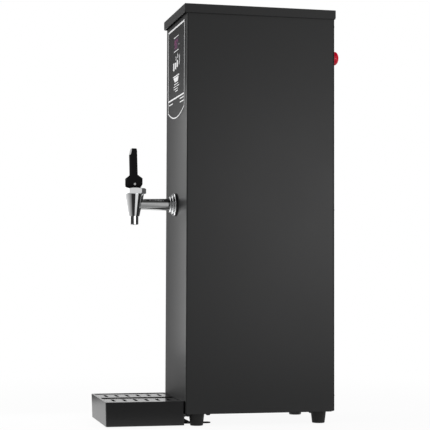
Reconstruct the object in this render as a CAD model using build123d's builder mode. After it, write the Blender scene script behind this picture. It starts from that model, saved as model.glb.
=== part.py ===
"""Tall countertop hot water urn: sheet-steel cabinet, inner tank, lever tap and drip tray.

Millimetres, +Z up, the front faces -Y. The origin is the middle of the whole footprint, on the
counter that the feet and the drip tray stand on.
"""

import os
from math import cos, pi, radians, sin

from build123d import *

# ---------------------------------------------------------------- driving dimensions
# Cabinet
TOTAL_HEIGHT = 650.0
CABINET_WIDTH = 162.0
CABINET_DEPTH = 238.0
SHEET = 1.0
BEND_RADIUS = 2.0
FLANGE_WIDTH = 12.0
PANEL_MARGIN = 3.0
REAR_PANEL_MARGIN = 0.5
REAR_PANEL_CORNER = 1.0
COVER_SKIRT = 14.0
COVER_GAP_SIDE = 1.5
COVER_GAP_FRONT = 3.3
COVER_GAP_REAR = 0.6
CORNER_NOTCH = 1.8

# Feet and cabinet screws
FOOT_HEIGHT = 18.1
FOOT_TOP_RADIUS = 12.0
FOOT_BOTTOM_RADIUS = 9.9
FOOT_EDGE = 0.5
FOOT_INSET_X = 17.0
FOOT_INSET_Y = 21.0
FOOT_RECESS_RADIUS = 5.6
FOOT_RECESS_DEPTH = 8.0
FOOT_SCREW_RADIUS = 2.5
CABINET_SCREW_RADIUS = 1.75
SCREW_HEAD_RADIUS = 3.6
SCREW_HEAD_HEIGHT = 1.9
SCREW_LENGTH = 7.0
SCREW_CLEARANCE = 0.15
SCREW_INSET = 6.0
SCREW_END_INSET = 11.0
SCREW_REAR_SPREAD = 60.0
FRONT_SCREW_HEAD_HEIGHT = 3.9
REAR_SCREW_INSET = 7.5
LOUVRE_WIDTH = 62.0
LOUVRE_HEIGHT = 7.0
LOUVRE_PROJECTION = 2.4
LOUVRE_PITCH = 14.0
LOUVRE_COUNT = 5
VENT_SLOT_LENGTH = 80.0
VENT_SLOT_WIDTH = 4.0
VENT_SLOT_PITCH = 10.0
VENT_SLOT_COUNT = 6

# Control panel
OVERLAY_WIDTH = 131.0
OVERLAY_TOP_DROP = 21.0
OVERLAY_SIDE_HEIGHT = 134.0
OVERLAY_BOTTOM_SAG = 14.0
OVERLAY_CORNER = 2.0
OVERLAY_THICKNESS = 0.6
LENS_WIDTH = 34.0
LENS_HEIGHT = 18.4
LENS_DROP = 49.8
LENS_CORNER = 1.5
DIGITS_WIDTH = 30.0
DIGITS_HEIGHT = 14.0
DIGITS_DEPTH = 8.0
DISPLAY_BOARD_WIDTH = 104.0
DISPLAY_BOARD_HEIGHT = 66.0
BOARD_THICKNESS = 1.6
STANDOFF_RADIUS = 2.6
STANDOFF_INSET = 5.0

# Power switch, on the rear panel
SWITCH_INSET_X = 21.0
SWITCH_DROP = 73.1
SWITCH_BARREL_RADIUS = 11.6
SWITCH_BARREL_LENGTH = 20.0
SWITCH_BEZEL_RADIUS = 14.0
SWITCH_BEZEL_THICKNESS = 2.4
SWITCH_BLOCK_WIDTH = 20.0
SWITCH_BLOCK_LENGTH = 14.0
BUTTON_RADIUS = 10.7
BUTTON_REACH = 12.9
BUTTON_DOME = 6.0
BUTTON_TRAVEL = 3.0
BUTTON_CLEARANCE = 0.3
SWITCH_NUT_THICKNESS = 3.0

# Tank
TANK_HEADROOM = 110.0
TANK_WALL = 1.2
TANK_CORNER = 2.4
TANK_RIM = 9.0
TANK_SETBACK = 60.0
TANK_BELOW_OUTLET = 22.5
SPIGOT_RADIUS = 7.0
SPIGOT_BORE = 5.5
SPIGOT_LENGTH = 28.0
LID_THICKNESS = 1.5
GASKET_THICKNESS = 2.0
INSULATION = 14.0
JACKET_SIDE_GAP = 2.0
JACKET_REAR_GAP = 12.0
INSULATION_GAP = 0.4
INSULATION_DROP = 4.0
SHELF_THICKNESS = 1.5
SHELF_FLANGE = 14.0
SHELF_GAP = 0.2

# Heater and sensors
HEATER_FLANGE_RADIUS = 26.0
HEATER_FLANGE_THICKNESS = 4.0
HEATER_TUBE_RADIUS = 4.0
HEATER_LOOP_WIDTH = 18.0
HEATER_LOOP_HEIGHT = 70.0
HEATER_LOOP_SPACING = 16.0
HEATER_TERMINAL_LENGTH = 18.0
PROBE_RADIUS = 3.0
PROBE_TIP_HEIGHT = 73.0
PROBE_HEX = 12.0
LEVEL_HEAD_RADIUS = 11.0
LEVEL_HEAD_HEIGHT = 12.0
LEVEL_ROD_RADIUS = 1.5
LEVEL_ROD_SPACING = 5.0
LEVEL_ROD_ENDS = 5.0
LEVEL_FULL_DEPTH = 30.0
LEVEL_FILL_DEPTH = 60.0
LEVEL_EMPTY_HEIGHT = 90.0
THERMOSTAT_RADIUS = 8.5
THERMOSTAT_HEIGHT = 9.0

# Water connections
INLET_X = -38.0
INLET_HEIGHT = 75.0
INLET_REACH = 24.0
INLET_THREAD_RADIUS = 10.48
INLET_RELIEF = 0.5
INLET_BORE = 7.0
VALVE_WIDTH = 32.0
VALVE_DEPTH = 40.0
VALVE_BODY_HEIGHT = 30.0
VALVE_FLANGE = 44.0
VALVE_FLANGE_THICKNESS = 3.0
COIL_RADIUS = 14.0
COIL_HEIGHT = 26.0
HOSE_RADIUS = 8.5
HOSE_BORE = 6.2
HOSE_BARB = 6.0
HOSE_BEND = 60.0
HOSE_FIT = 0.05
CLIP_WIDTH = 6.0
CLIP_THICKNESS = 0.8
FILL_SETBACK = 25.0
DRAIN_X = 18.0
DRAIN_SETBACK = 18.5
DRAIN_PIPE_RADIUS = 7.8
DRAIN_CAP_RADIUS = 9.5
DRAIN_CAP_EDGE = 0.6
DRAIN_CAP_HEIGHT = 8.0
VENT_X = -8.0
VENT_RADIUS = 4.0
VENT_BORE = 3.2
VENT_RISE = 30.0
VENT_SETBACK = 25.0
VENT_BEND = 12.0
VENT_CLEARANCE = 1.6

# Electrics
BRACKET_WIDTH = 112.0
BRACKET_HEIGHT = 130.0
BRACKET_FOOT = 34.0
BRACKET_SETBACK = 64.0
BRACKET_SHEET = 1.2
POWER_BOARD_WIDTH = 100.0
POWER_BOARD_HEIGHT = 96.0
POWER_BOARD_STANDOFF = 8.0
RELAY_SIZE = (28.0, 20.0, 30.0)
TERMINAL_SIZE = (60.0, 20.0, 18.0)
TERMINAL_WAYS = 5
GLAND_X = 14.0
GLAND_HEIGHT = 62.0
GLAND_BARREL_RADIUS = 7.8
GLAND_BORE = 4.2
GLAND_HEX = 19.0
GLAND_REACH = 19.0
GLAND_NUT_THICKNESS = 5.0

# Tap
TAP_HEIGHT = 342.5
TAP_REACH = 68.0
SHANK_RADIUS = 8.5
SHANK_FLARE_RADIUS = 9.6
SHANK_BORE = 5.5
TAIL_RADIUS = 8.3
TAIL_LENGTH = 28.0
TAIL_THREAD_LENGTH = 14.0
CONE_TOP_RADIUS = 16.4
CONE_BOTTOM_RADIUS = 9.3
CONE_RISE = 16.0
CONE_DROP = 19.2
SPOUT_RADIUS = 7.7
SPOUT_LENGTH = 13.3
SPOUT_BORE = 5.5
SEAT_HEIGHT = 2.0
SEAT_WALL = 1.4
CAVITY_RADIUS = 12.6
ROSETTE_RADII = (18.1, 15.6, 13.0)
ROSETTE_STEP = 3.4
TAP_GASKET_THICKNESS = 1.5
LOCKNUT_HEX = 24.0
LOCKNUT_THICKNESS = 6.0
BONNET_HEX = 34.4
BONNET_HEIGHT = 9.1
BONNET_CHAMFER = 1.2
BONNET_SKIRT = 8.0
BONNET_SKIRT_WALL = 2.6
BONNET_ROOF = 6.0
STEM_RADIUS = 3.0
STEM_FLANGE_RADIUS = 6.0
STEM_FLANGE_THICKNESS = 1.6
STEM_EYE_RADIUS = 4.0
STEM_EYE_WIDTH = 5.0
CUP_RADIUS = 7.4
CUP_HEIGHT = 9.0
CUP_WALL = 2.2
SPRING_WIRE_RADIUS = 0.55
SPRING_RADIUS = 5.0
SPRING_TURNS = 5
BUTTON_SPRING_TURNS = 4
LEVER_WIDTH = 20.0
LEVER_HUB_DEPTH = 24.4
LEVER_HUB_HEIGHT = 15.2
LEVER_NECK_RISE = 20.7
LEVER_NECK_FRONT = 5.5
LEVER_NECK_REAR = 4.6
LEVER_TOP_RISE = 62.8
LEVER_TOP_FRONT = 6.4
LEVER_TOP_REAR = 3.2
LEVER_PADDLE_WIDTH = 18.4
LEVER_THUMB_HEIGHT = 9.5
LEVER_THUMB_DEPTH = 1.8
LEVER_CORNER = 6.0
LEVER_CHEEK_CUT = (2.8, 5.4)
LEVER_EDGE = 1.5
LEVER_TRAVEL = 45.0
CAM_BASE = 5.9
CAM_RATE = 6.3
CAM_GAP = 0.3
PIN_RADIUS = 2.0
PIN_CLEARANCE = 0.05
PIN_SEAT = 0.02
SLOT_CLEARANCE = 0.3
SEAL_GAP = 0.3
RUNNING_CLEARANCE = 0.05

# Drip tray
TRAY_WIDTH = 154.0
TRAY_DEPTH = 122.0
TRAY_TOP = 38.5
TRAY_GAP = 0.3
TRAY_WALL = 4.0
TRAY_FLOOR = 2.4
TRAY_TAPER = 2.0
TRAY_CORNER = 3.0
TRAY_LEDGE = 2.0
TRAY_COVER_THICKNESS = 1.2
TRAY_COVER_DROP = 0.8
TRAY_COVER_GAP = 0.4
TRAY_SLOT_LENGTH = 30.0
TRAY_SLOT_WIDTH = 5.0
TRAY_SLOT_PITCH = 17.3
TRAY_SLOT_COUNT = 6
TRAY_ROW_SPACING = 76.0
TRAY_RIB_WIDTH = 3.0
TRAY_RIB_HEIGHT = 1.2
FORK_SHEET = 1.5
FORK_WIDTH = 81.0
FORK_UNDER_TRAY = 88.0
FORK_BRIDGE = 19.5
PRONG_LENGTH = 30.2
PRONG_WIDTH = 13.0

QUARTER_TURN = 90

# ---------------------------------------------------------------- derived places
cabinet_y = (TRAY_DEPTH + TRAY_GAP - INLET_REACH) / 2
front_y = cabinet_y - CABINET_DEPTH / 2
rear_y = cabinet_y + CABINET_DEPTH / 2
casing_z = FOOT_HEIGHT + SHEET
casing_top = TOTAL_HEIGHT - SHEET
casing_depth = CABINET_DEPTH - SHEET
casing_y = cabinet_y - SHEET / 2
front_inner_y = front_y + SHEET
rear_inner_y = rear_y - SHEET
flange_inner_y = rear_inner_y - SHEET

foot_places = {
    "foot_front_left": (-1, -1),
    "foot_front_right": (1, -1),
    "foot_rear_left": (-1, 1),
    "foot_rear_right": (1, 1),
}
foot_x = CABINET_WIDTH / 2 - FOOT_INSET_X
foot_y = CABINET_DEPTH / 2 - FOOT_INSET_Y

base_screw_x = CABINET_WIDTH / 2 - SCREW_INSET
base_screw_y = CABINET_DEPTH / 2 - SCREW_INSET
base_screw_side_y = foot_y - FOOT_TOP_RADIUS - SCREW_HEAD_RADIUS
base_screw_end_x = CABINET_WIDTH / 2 - SCREW_END_INSET
base_screw_spots = [
    (sx * base_screw_x, cabinet_y + sy * base_screw_side_y) for sx in (-1, 1) for sy in (-1, 1)
] + [(sx * SCREW_REAR_SPREAD / 2, cabinet_y + base_screw_y) for sx in (-1, 1)]
front_screw_spots = [(sx * base_screw_end_x, cabinet_y - base_screw_y) for sx in (-1, 1)]

overlay_top = TOTAL_HEIGHT - OVERLAY_TOP_DROP
overlay_side_bottom = overlay_top - OVERLAY_SIDE_HEIGHT
lens_z = TOTAL_HEIGHT - LENS_DROP
display_board_y = front_inner_y + LENS_CORNER + DIGITS_DEPTH
switch_x = CABINET_WIDTH / 2 - SWITCH_INSET_X
switch_z = TOTAL_HEIGHT - SWITCH_DROP

tap_y = front_y - TAP_REACH
cone_top = TAP_HEIGHT + CONE_RISE
cone_bottom = TAP_HEIGHT - CONE_DROP
spout_bottom = cone_bottom - SPOUT_LENGTH
bonnet_top = cone_top + BONNET_HEIGHT
pin_z = bonnet_top + CAM_GAP + CAM_BASE
seat_z = cone_bottom + SEAT_HEIGHT + SEAT_WALL
cup_z = seat_z + SEAL_GAP
rosette_depth = ROSETTE_STEP * len(ROSETTE_RADII)
rosette_face = TAP_GASKET_THICKNESS + rosette_depth
stem_lift = CAM_RATE * radians(LEVER_TRAVEL)

jacket_width = CABINET_WIDTH - 2 * SHEET - 2 * JACKET_SIDE_GAP
tank_width = jacket_width - 2 * INSULATION
tank_depth = CABINET_DEPTH - SHEET - TANK_SETBACK - INSULATION - JACKET_REAR_GAP
tank_z = TAP_HEIGHT - TANK_BELOW_OUTLET
tank_top = TOTAL_HEIGHT - TANK_HEADROOM
tank_height = tank_top - tank_z
tank_y = front_y + TANK_SETBACK + tank_depth / 2
tank_rear_y = tank_y + tank_depth / 2
lid_z = tank_top + GASKET_THICKNESS
lid_top = lid_z + LID_THICKNESS
rim_width = tank_width + 2 * TANK_RIM
rim_depth = tank_depth + 2 * TANK_RIM
lid_screw_spots = [
    (sx * (rim_width - TANK_RIM) / 2, tank_y + sy * (rim_depth - TANK_RIM) / 2 * share)
    for sx in (-1, 1)
    for sy in (-1, 1)
    for share in (0.75, 0.25)
]
fill_y = tank_rear_y - FILL_SETBACK
drain_y = tank_rear_y - DRAIN_SETBACK
shelf_z = tank_z - SHELF_THICKNESS
heater_z = shelf_z - GASKET_THICKNESS
vent_start_y = tank_rear_y - VENT_SETBACK
vent_y = rear_inner_y - VENT_RADIUS - VENT_CLEARANCE

valve_z = INLET_HEIGHT - VALVE_BODY_HEIGHT / 2
valve_outlet_y = rear_inner_y - VALVE_DEPTH * 0.7
base_top = FOOT_HEIGHT + SHEET
bracket_y = front_y + BRACKET_SETBACK

tray_rear_y = front_y - TRAY_GAP
tray_front_y = tray_rear_y - TRAY_DEPTH
tray_y = (tray_rear_y + tray_front_y) / 2
tray_z = FORK_SHEET
tray_draft = (TRAY_TOP - tray_z) * sin(radians(TRAY_TAPER)) / cos(radians(TRAY_TAPER))


# ---------------------------------------------------------------- small shared makers
def turned(plane, points):
    """A turned piece: (along, radius) points revolved about the plane's own x axis."""
    with BuildPart() as piece:
        with BuildSketch(plane):
            with BuildLine():
                Polyline(*points, close=True)
            make_face()
        revolve(axis=Axis(plane.origin, plane.x_dir))
    return piece.part


def upright(x, y, z=0.0):
    """The plane of a piece turned about a vertical axis, seen as (height, radius)."""
    return Plane(origin=(x, y, z), x_dir=(0, 0, 1), z_dir=(0, 1, 0))


def forward(x, y, z):
    """The plane of a piece turned about an axis to the front, seen as (outward, radius)."""
    return Plane(origin=(x, y, z), x_dir=(0, -1, 0), z_dir=(-1, 0, 0))


def rearward(x, y, z):
    """The plane of a piece turned about an axis to the rear, seen as (outward, radius)."""
    return Plane(origin=(x, y, z), x_dir=(0, 1, 0), z_dir=(1, 0, 0))


def downward(x, y, z):
    """The plane of a piece turned about an axis that points down."""
    return Plane(origin=(x, y, z), x_dir=(0, 0, -1), z_dir=(0, 1, 0))


def front_sketch(y):
    """A plane that faces the front at depth y, with x to the right and y up."""
    return Plane.XZ.offset(-y)


def pan_screw(
    plane, length, radius=CABINET_SCREW_RADIUS, head=SCREW_HEAD_RADIUS, rise=SCREW_HEAD_HEIGHT
):
    """A pan-head screw whose head stands out along the plane's x axis."""
    return turned(
        plane,
        [
            (-length, 0),
            (-length, radius),
            (0, radius),
            (0, head),
            (rise - SCREW_HEAD_HEIGHT / 2, head),
            (rise, head * 0.6),
            (rise, 0),
        ],
    )


def coil_spring(base, direction, height, turns):
    """A compression spring of six-sided wire, wound from its base along a direction."""
    with BuildPart() as spring:
        with BuildLine() as winding:
            Helix(
                pitch=height / turns,
                height=height,
                radius=SPRING_RADIUS,
                center=base,
                direction=direction,
            )
        with BuildSketch(Plane(origin=winding.line @ 0, z_dir=winding.line % 0)):
            RegularPolygon(SPRING_WIRE_RADIUS, 6)
        sweep(path=winding.line, is_frenet=True)
    return spring.part


def tube_along(corners, bend, outer, bore):
    """A hose: straight runs joined by tangent arcs, with its bore open at both ends."""
    with BuildPart() as hose:
        with BuildLine() as route:
            FilletPolyline(*corners, radius=bend)
        start = Plane(origin=route.line @ 0, z_dir=route.line % 0)
        with BuildSketch(start):
            Circle(outer)
        sweep(path=route.line)
        with BuildSketch(start):
            Circle(bore)
        sweep(path=route.line, mode=Mode.SUBTRACT)
    return hose.part


# ---------------------------------------------------------------- cabinet
screw_hole = CABINET_SCREW_RADIUS + SCREW_CLEARANCE
rear_screw_x = CABINET_WIDTH / 2 - REAR_SCREW_INSET
rear_screw_heights = [
    casing_z + FLANGE_WIDTH * 2,
    (casing_z + casing_top) / 2,
    casing_top - FLANGE_WIDTH * 2,
]
cover_screw_x = CABINET_WIDTH / 4
cover_screw_z = TOTAL_HEIGHT - COVER_SKIRT / 2

with BuildPart() as casing:
    # The folded outline, closed for now, then hollowed from above onto its bottom flange.
    with BuildSketch(Plane.XY.offset(casing_z)) as outline:
        with Locations((0, casing_y)):
            Rectangle(CABINET_WIDTH, casing_depth)
        fillet(outline.vertices(), BEND_RADIUS)
    extrude(amount=casing_top - casing_z)
    with BuildSketch(Plane.XY.offset(casing_z + SHEET)) as hollow:
        with Locations((0, casing_y)):
            Rectangle(CABINET_WIDTH - 2 * SHEET, casing_depth - 2 * SHEET)
        fillet(hollow.vertices(), BEND_RADIUS - SHEET)
    extrude(amount=casing_top, mode=Mode.SUBTRACT)
    with BuildSketch(Plane.XY.offset(casing_z)):
        with Locations((0, casing_y)):
            Rectangle(CABINET_WIDTH - 2 * FLANGE_WIDTH, casing_depth - 2 * FLANGE_WIDTH)
    extrude(amount=SHEET, mode=Mode.SUBTRACT)
    # The rear opening leaves a return flange all round.
    with BuildSketch(front_sketch(rear_inner_y)):
        with Locations((0, (casing_z + casing_top) / 2)):
            Rectangle(CABINET_WIDTH - 2 * FLANGE_WIDTH, casing_top - casing_z - 2 * FLANGE_WIDTH)
    extrude(amount=SHEET, mode=Mode.SUBTRACT)
    # Front holes: tap tail and display window.
    with BuildSketch(front_sketch(front_inner_y)):
        with Locations((0, TAP_HEIGHT)):
            Circle(TAIL_RADIUS + SCREW_CLEARANCE)
        with Locations((0, lens_z)):
            RectangleRounded(
                LENS_WIDTH + 2 * SCREW_CLEARANCE, LENS_HEIGHT + 2 * SCREW_CLEARANCE, LENS_CORNER
            )
    extrude(amount=SHEET, mode=Mode.SUBTRACT)
    # Screw holes in the rear and bottom flanges.
    with BuildSketch(front_sketch(rear_inner_y)):
        with Locations([(sx * rear_screw_x, z) for sx in (-1, 1) for z in rear_screw_heights]):
            Circle(screw_hole)
        with Locations([(sx * cover_screw_x, cover_screw_z) for sx in (-1, 1)]):
            Circle(screw_hole)
        with Locations((switch_x, switch_z)):
            Circle(SWITCH_BEZEL_RADIUS + 2 * SHEET)
    extrude(amount=SHEET, mode=Mode.SUBTRACT)
    with BuildSketch(Plane.XY.offset(casing_z)):
        with Locations(base_screw_spots + front_screw_spots):
            Circle(screw_hole)
        with Locations((VENT_X, vent_y)):
            Circle(VENT_RADIUS + SHEET)
    extrude(amount=SHEET, mode=Mode.SUBTRACT)
casing.part.label = "casing"

rear_panel_width = CABINET_WIDTH - 2 * REAR_PANEL_MARGIN
rear_panel_height = casing_top - casing_z - 2 * REAR_PANEL_MARGIN
rear_panel_z = (casing_z + casing_top) / 2
louvre_z = casing_z + rear_panel_height * 0.42
louvre_places = [louvre_z + i * LOUVRE_PITCH for i in range(LOUVRE_COUNT)]

with BuildPart() as rear_panel:
    with BuildSketch(front_sketch(rear_y)):
        with Locations((0, rear_panel_z)):
            RectangleRounded(rear_panel_width, rear_panel_height, REAR_PANEL_CORNER)
    extrude(amount=SHEET)
    # Each louvre is a hood pressed outwards over a slot that opens downwards.
    for z in louvre_places:
        with BuildSketch(Plane.YZ):
            with BuildLine():
                Polyline((rear_inner_y, z), (rear_y + LOUVRE_PROJECTION, z))
                RadiusArc(
                    (rear_y + LOUVRE_PROJECTION, z),
                    (rear_y - SHEET / 2, z + LOUVRE_HEIGHT),
                    LOUVRE_HEIGHT * 1.1,
                )
                Polyline(
                    (rear_y - SHEET / 2, z + LOUVRE_HEIGHT),
                    (rear_inner_y, z + LOUVRE_HEIGHT),
                    (rear_inner_y, z),
                )
            make_face()
        extrude(amount=LOUVRE_WIDTH / 2, both=True)
        with BuildSketch(Plane.YZ):
            with BuildLine():
                Polyline((rear_inner_y, z), (rear_y + LOUVRE_PROJECTION - SHEET, z))
                RadiusArc(
                    (rear_y + LOUVRE_PROJECTION - SHEET, z),
                    (rear_inner_y, z + LOUVRE_HEIGHT - SHEET),
                    LOUVRE_HEIGHT * 1.1,
                )
                Line((rear_inner_y, z + LOUVRE_HEIGHT - SHEET), (rear_inner_y, z))
            make_face()
        extrude(amount=LOUVRE_WIDTH / 2 - SHEET, both=True, mode=Mode.SUBTRACT)
    with BuildSketch(front_sketch(rear_y)):
        with Locations([(sx * rear_screw_x, z) for sx in (-1, 1) for z in rear_screw_heights]):
            Circle(screw_hole)
        with Locations([(sx * cover_screw_x, cover_screw_z) for sx in (-1, 1)]):
            Circle(screw_hole)
        with Locations((switch_x, switch_z)):
            Circle(SWITCH_BARREL_RADIUS + SCREW_CLEARANCE)
        with Locations((INLET_X, INLET_HEIGHT)):
            Circle(INLET_THREAD_RADIUS + SCREW_CLEARANCE)
        with Locations((GLAND_X, GLAND_HEIGHT)):
            Circle(GLAND_BARREL_RADIUS + SCREW_CLEARANCE)
    extrude(amount=SHEET, mode=Mode.SUBTRACT)
rear_panel.part.label = "rear_panel"

with BuildPart() as base_plate:
    with BuildSketch(Plane.XY.offset(FOOT_HEIGHT)):
        with Locations((0, cabinet_y)):
            RectangleRounded(
                CABINET_WIDTH - 2 * PANEL_MARGIN, CABINET_DEPTH - 2 * PANEL_MARGIN, BEND_RADIUS
            )
        with Locations((0, cabinet_y)):
            with GridLocations(2 * foot_x, 2 * foot_y, 2, 2):
                Circle(FOOT_SCREW_RADIUS + SCREW_CLEARANCE, mode=Mode.SUBTRACT)
            with GridLocations(0, VENT_SLOT_PITCH, 1, VENT_SLOT_COUNT):
                SlotOverall(VENT_SLOT_LENGTH, VENT_SLOT_WIDTH, mode=Mode.SUBTRACT)
        with Locations(base_screw_spots + front_screw_spots):
            Circle(screw_hole, mode=Mode.SUBTRACT)
        with Locations((DRAIN_X, drain_y)):
            Circle(DRAIN_PIPE_RADIUS + SCREW_CLEARANCE, mode=Mode.SUBTRACT)
        with Locations((VENT_X, vent_y)):
            Circle(VENT_RADIUS + SCREW_CLEARANCE, mode=Mode.SUBTRACT)
    extrude(amount=SHEET)
base_plate.part.label = "base_plate"

cover_width = CABINET_WIDTH + 2 * (COVER_GAP_SIDE + SHEET)
cover_front_y = front_y - COVER_GAP_FRONT - SHEET
cover_rear_y = rear_y + COVER_GAP_REAR + SHEET
cover_depth = cover_rear_y - cover_front_y
cover_y = (cover_front_y + cover_rear_y) / 2

with BuildPart() as top_cover:
    with BuildSketch(Plane.XY.offset(TOTAL_HEIGHT - COVER_SKIRT)):
        with Locations((0, cover_y)):
            Rectangle(cover_width, cover_depth)
    extrude(amount=COVER_SKIRT)
    fillet(top_cover.edges().group_by(Axis.Z)[-1], SHEET)
    with BuildSketch(Plane.XY.offset(TOTAL_HEIGHT - COVER_SKIRT)):
        with Locations((0, cover_y)):
            Rectangle(cover_width - 2 * SHEET, cover_depth - 2 * SHEET)
    extrude(amount=COVER_SKIRT - SHEET, mode=Mode.SUBTRACT)
    # The skirts are folded down and meet at open corners with a small relief at the bottom.
    with BuildSketch(Plane.XY.offset(TOTAL_HEIGHT - COVER_SKIRT)):
        with Locations((0, cover_y)):
            with GridLocations(cover_width - SHEET, cover_depth - SHEET, 2, 2):
                Rectangle(CORNER_NOTCH, CORNER_NOTCH)
    extrude(amount=CORNER_NOTCH, mode=Mode.SUBTRACT)
    with BuildSketch(front_sketch(cover_rear_y)):
        with Locations([(sx * cover_screw_x, cover_screw_z) for sx in (-1, 1)]):
            Circle(screw_hole)
    extrude(amount=SHEET, mode=Mode.SUBTRACT)
top_cover.part.label = "top_cover"

with BuildPart() as cover_screws:
    for sx in (-1, 1):
        add(pan_screw(rearward(sx * cover_screw_x, cover_rear_y, cover_screw_z), SCREW_LENGTH))
cover_screws.part.label = "cover_screws"

with BuildPart() as rear_screws:
    for sx in (-1, 1):
        for z in rear_screw_heights:
            add(pan_screw(rearward(sx * rear_screw_x, rear_y, z), SCREW_LENGTH))
rear_screws.part.label = "rear_screws"

with BuildPart() as base_screws:
    for spot in base_screw_spots:
        add(pan_screw(downward(*spot, FOOT_HEIGHT), SCREW_LENGTH))
    # The two in front, beside the tray, have deeper heads.
    for spot in front_screw_spots:
        add(pan_screw(downward(*spot, FOOT_HEIGHT), SCREW_LENGTH, rise=FRONT_SCREW_HEAD_HEIGHT))
base_screws.part.label = "base_screws"


# ---------------------------------------------------------------- feet
def rubber_foot(x, y):
    """A tapered round foot with a deep recess for its screw head."""
    return turned(
        upright(x, y),
        [
            (FOOT_RECESS_DEPTH, FOOT_SCREW_RADIUS + SCREW_CLEARANCE),
            (FOOT_RECESS_DEPTH, FOOT_RECESS_RADIUS),
            (0, FOOT_RECESS_RADIUS),
            (0, FOOT_BOTTOM_RADIUS - FOOT_EDGE),
            (FOOT_EDGE, FOOT_BOTTOM_RADIUS),
            (FOOT_HEIGHT, FOOT_TOP_RADIUS),
            (FOOT_HEIGHT, FOOT_SCREW_RADIUS + SCREW_CLEARANCE),
        ],
    )


feet = {}
for name, (sx, sy) in foot_places.items():
    with BuildPart() as foot:
        add(rubber_foot(sx * foot_x, cabinet_y + sy * foot_y))
    foot.part.label = name
    feet[name] = foot

foot_screw_length = FOOT_HEIGHT - FOOT_RECESS_DEPTH + SHEET + 6.0
foot_nut_height = 4.0
with BuildPart() as foot_screws:
    for sx, sy in foot_places.values():
        place = downward(sx * foot_x, cabinet_y + sy * foot_y, FOOT_RECESS_DEPTH)
        add(pan_screw(place, foot_screw_length, FOOT_SCREW_RADIUS, FOOT_RECESS_RADIUS - 0.6))
        with BuildSketch(Plane.XY.offset(base_top)):
            with Locations((sx * foot_x, cabinet_y + sy * foot_y)):
                RegularPolygon(FOOT_SCREW_RADIUS * 1.6, 6, major_radius=False)
        extrude(amount=foot_nut_height)
foot_screws.part.label = "foot_screws"

# ---------------------------------------------------------------- control panel
with BuildPart() as control_overlay:
    with BuildSketch(front_sketch(front_y)) as panel_outline:
        with BuildLine():
            Polyline(
                (-OVERLAY_WIDTH / 2, overlay_side_bottom),
                (-OVERLAY_WIDTH / 2, overlay_top),
                (OVERLAY_WIDTH / 2, overlay_top),
                (OVERLAY_WIDTH / 2, overlay_side_bottom),
            )
            ThreePointArc(
                (OVERLAY_WIDTH / 2, overlay_side_bottom),
                (0, overlay_side_bottom - OVERLAY_BOTTOM_SAG),
                (-OVERLAY_WIDTH / 2, overlay_side_bottom),
            )
        make_face()
        fillet(panel_outline.vertices(), OVERLAY_CORNER)
        with Locations((0, lens_z)):
            RectangleRounded(
                LENS_WIDTH + 2 * SCREW_CLEARANCE,
                LENS_HEIGHT + 2 * SCREW_CLEARANCE,
                LENS_CORNER,
                mode=Mode.SUBTRACT,
            )
    extrude(amount=OVERLAY_THICKNESS)
control_overlay.part.label = "control_overlay"

with BuildPart() as display_lens:
    with BuildSketch(front_sketch(front_inner_y)):
        with Locations((0, lens_z)):
            RectangleRounded(LENS_WIDTH, LENS_HEIGHT, LENS_CORNER)
    extrude(amount=SHEET + OVERLAY_THICKNESS)
display_lens.part.label = "display_lens"

with BuildPart() as display_board:
    with BuildSketch(front_sketch(display_board_y + BOARD_THICKNESS)):
        with Locations((0, lens_z)):
            RectangleRounded(DISPLAY_BOARD_WIDTH, DISPLAY_BOARD_HEIGHT, LENS_CORNER)
    extrude(amount=BOARD_THICKNESS)
display_board.part.label = "display_board"

with BuildPart() as digit_display:
    with BuildSketch(front_sketch(display_board_y)):
        with Locations((0, lens_z)):
            Rectangle(DIGITS_WIDTH, DIGITS_HEIGHT)
    extrude(amount=DIGITS_DEPTH)
    fillet(digit_display.edges().filter_by(Axis.Y), 1.0)
digit_display.part.label = "digit_display"

with BuildPart() as board_standoffs:
    with BuildSketch(front_sketch(display_board_y)):
        with Locations((0, lens_z)):
            with GridLocations(
                DISPLAY_BOARD_WIDTH - 2 * STANDOFF_INSET, DISPLAY_BOARD_HEIGHT - 2 * STANDOFF_INSET, 2, 2
            ):
                Circle(STANDOFF_RADIUS)
    extrude(amount=display_board_y - front_inner_y)
board_standoffs.part.label = "board_standoffs"

# ---------------------------------------------------------------- power switch
switch_at = rearward(switch_x, rear_y, switch_z)
button_bore = BUTTON_RADIUS - 1.4
barrel_bottom = -SHEET - SWITCH_BARREL_LENGTH
button_skirt = -BUTTON_TRAVEL
button_foot = button_skirt - 3.0
spring_floor = barrel_bottom + 4.0

with BuildPart() as switch_body:
    add(
        turned(
            switch_at,
            [
                (barrel_bottom, 0),
                (barrel_bottom, SWITCH_BARREL_RADIUS),
                (0, SWITCH_BARREL_RADIUS),
                (0, SWITCH_BEZEL_RADIUS),
                (SWITCH_BEZEL_THICKNESS * 0.5, SWITCH_BEZEL_RADIUS),
                (SWITCH_BEZEL_THICKNESS, SWITCH_BEZEL_RADIUS - 1.2),
                (SWITCH_BEZEL_THICKNESS, BUTTON_RADIUS + BUTTON_CLEARANCE),
                (button_foot - BUTTON_TRAVEL - 1, BUTTON_RADIUS + BUTTON_CLEARANCE),
                (button_foot - BUTTON_TRAVEL - 1, SPRING_RADIUS + 1.5),
                (spring_floor, SPRING_RADIUS + 1.5),
                (spring_floor, 0),
            ],
        )
    )
    with BuildSketch(front_sketch(rear_y + barrel_bottom)):
        with Locations((switch_x, switch_z)):
            RectangleRounded(SWITCH_BLOCK_WIDTH, SWITCH_BLOCK_WIDTH, 2.0)
    extrude(amount=SWITCH_BLOCK_LENGTH)
switch_body.part.label = "switch_body"

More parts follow.
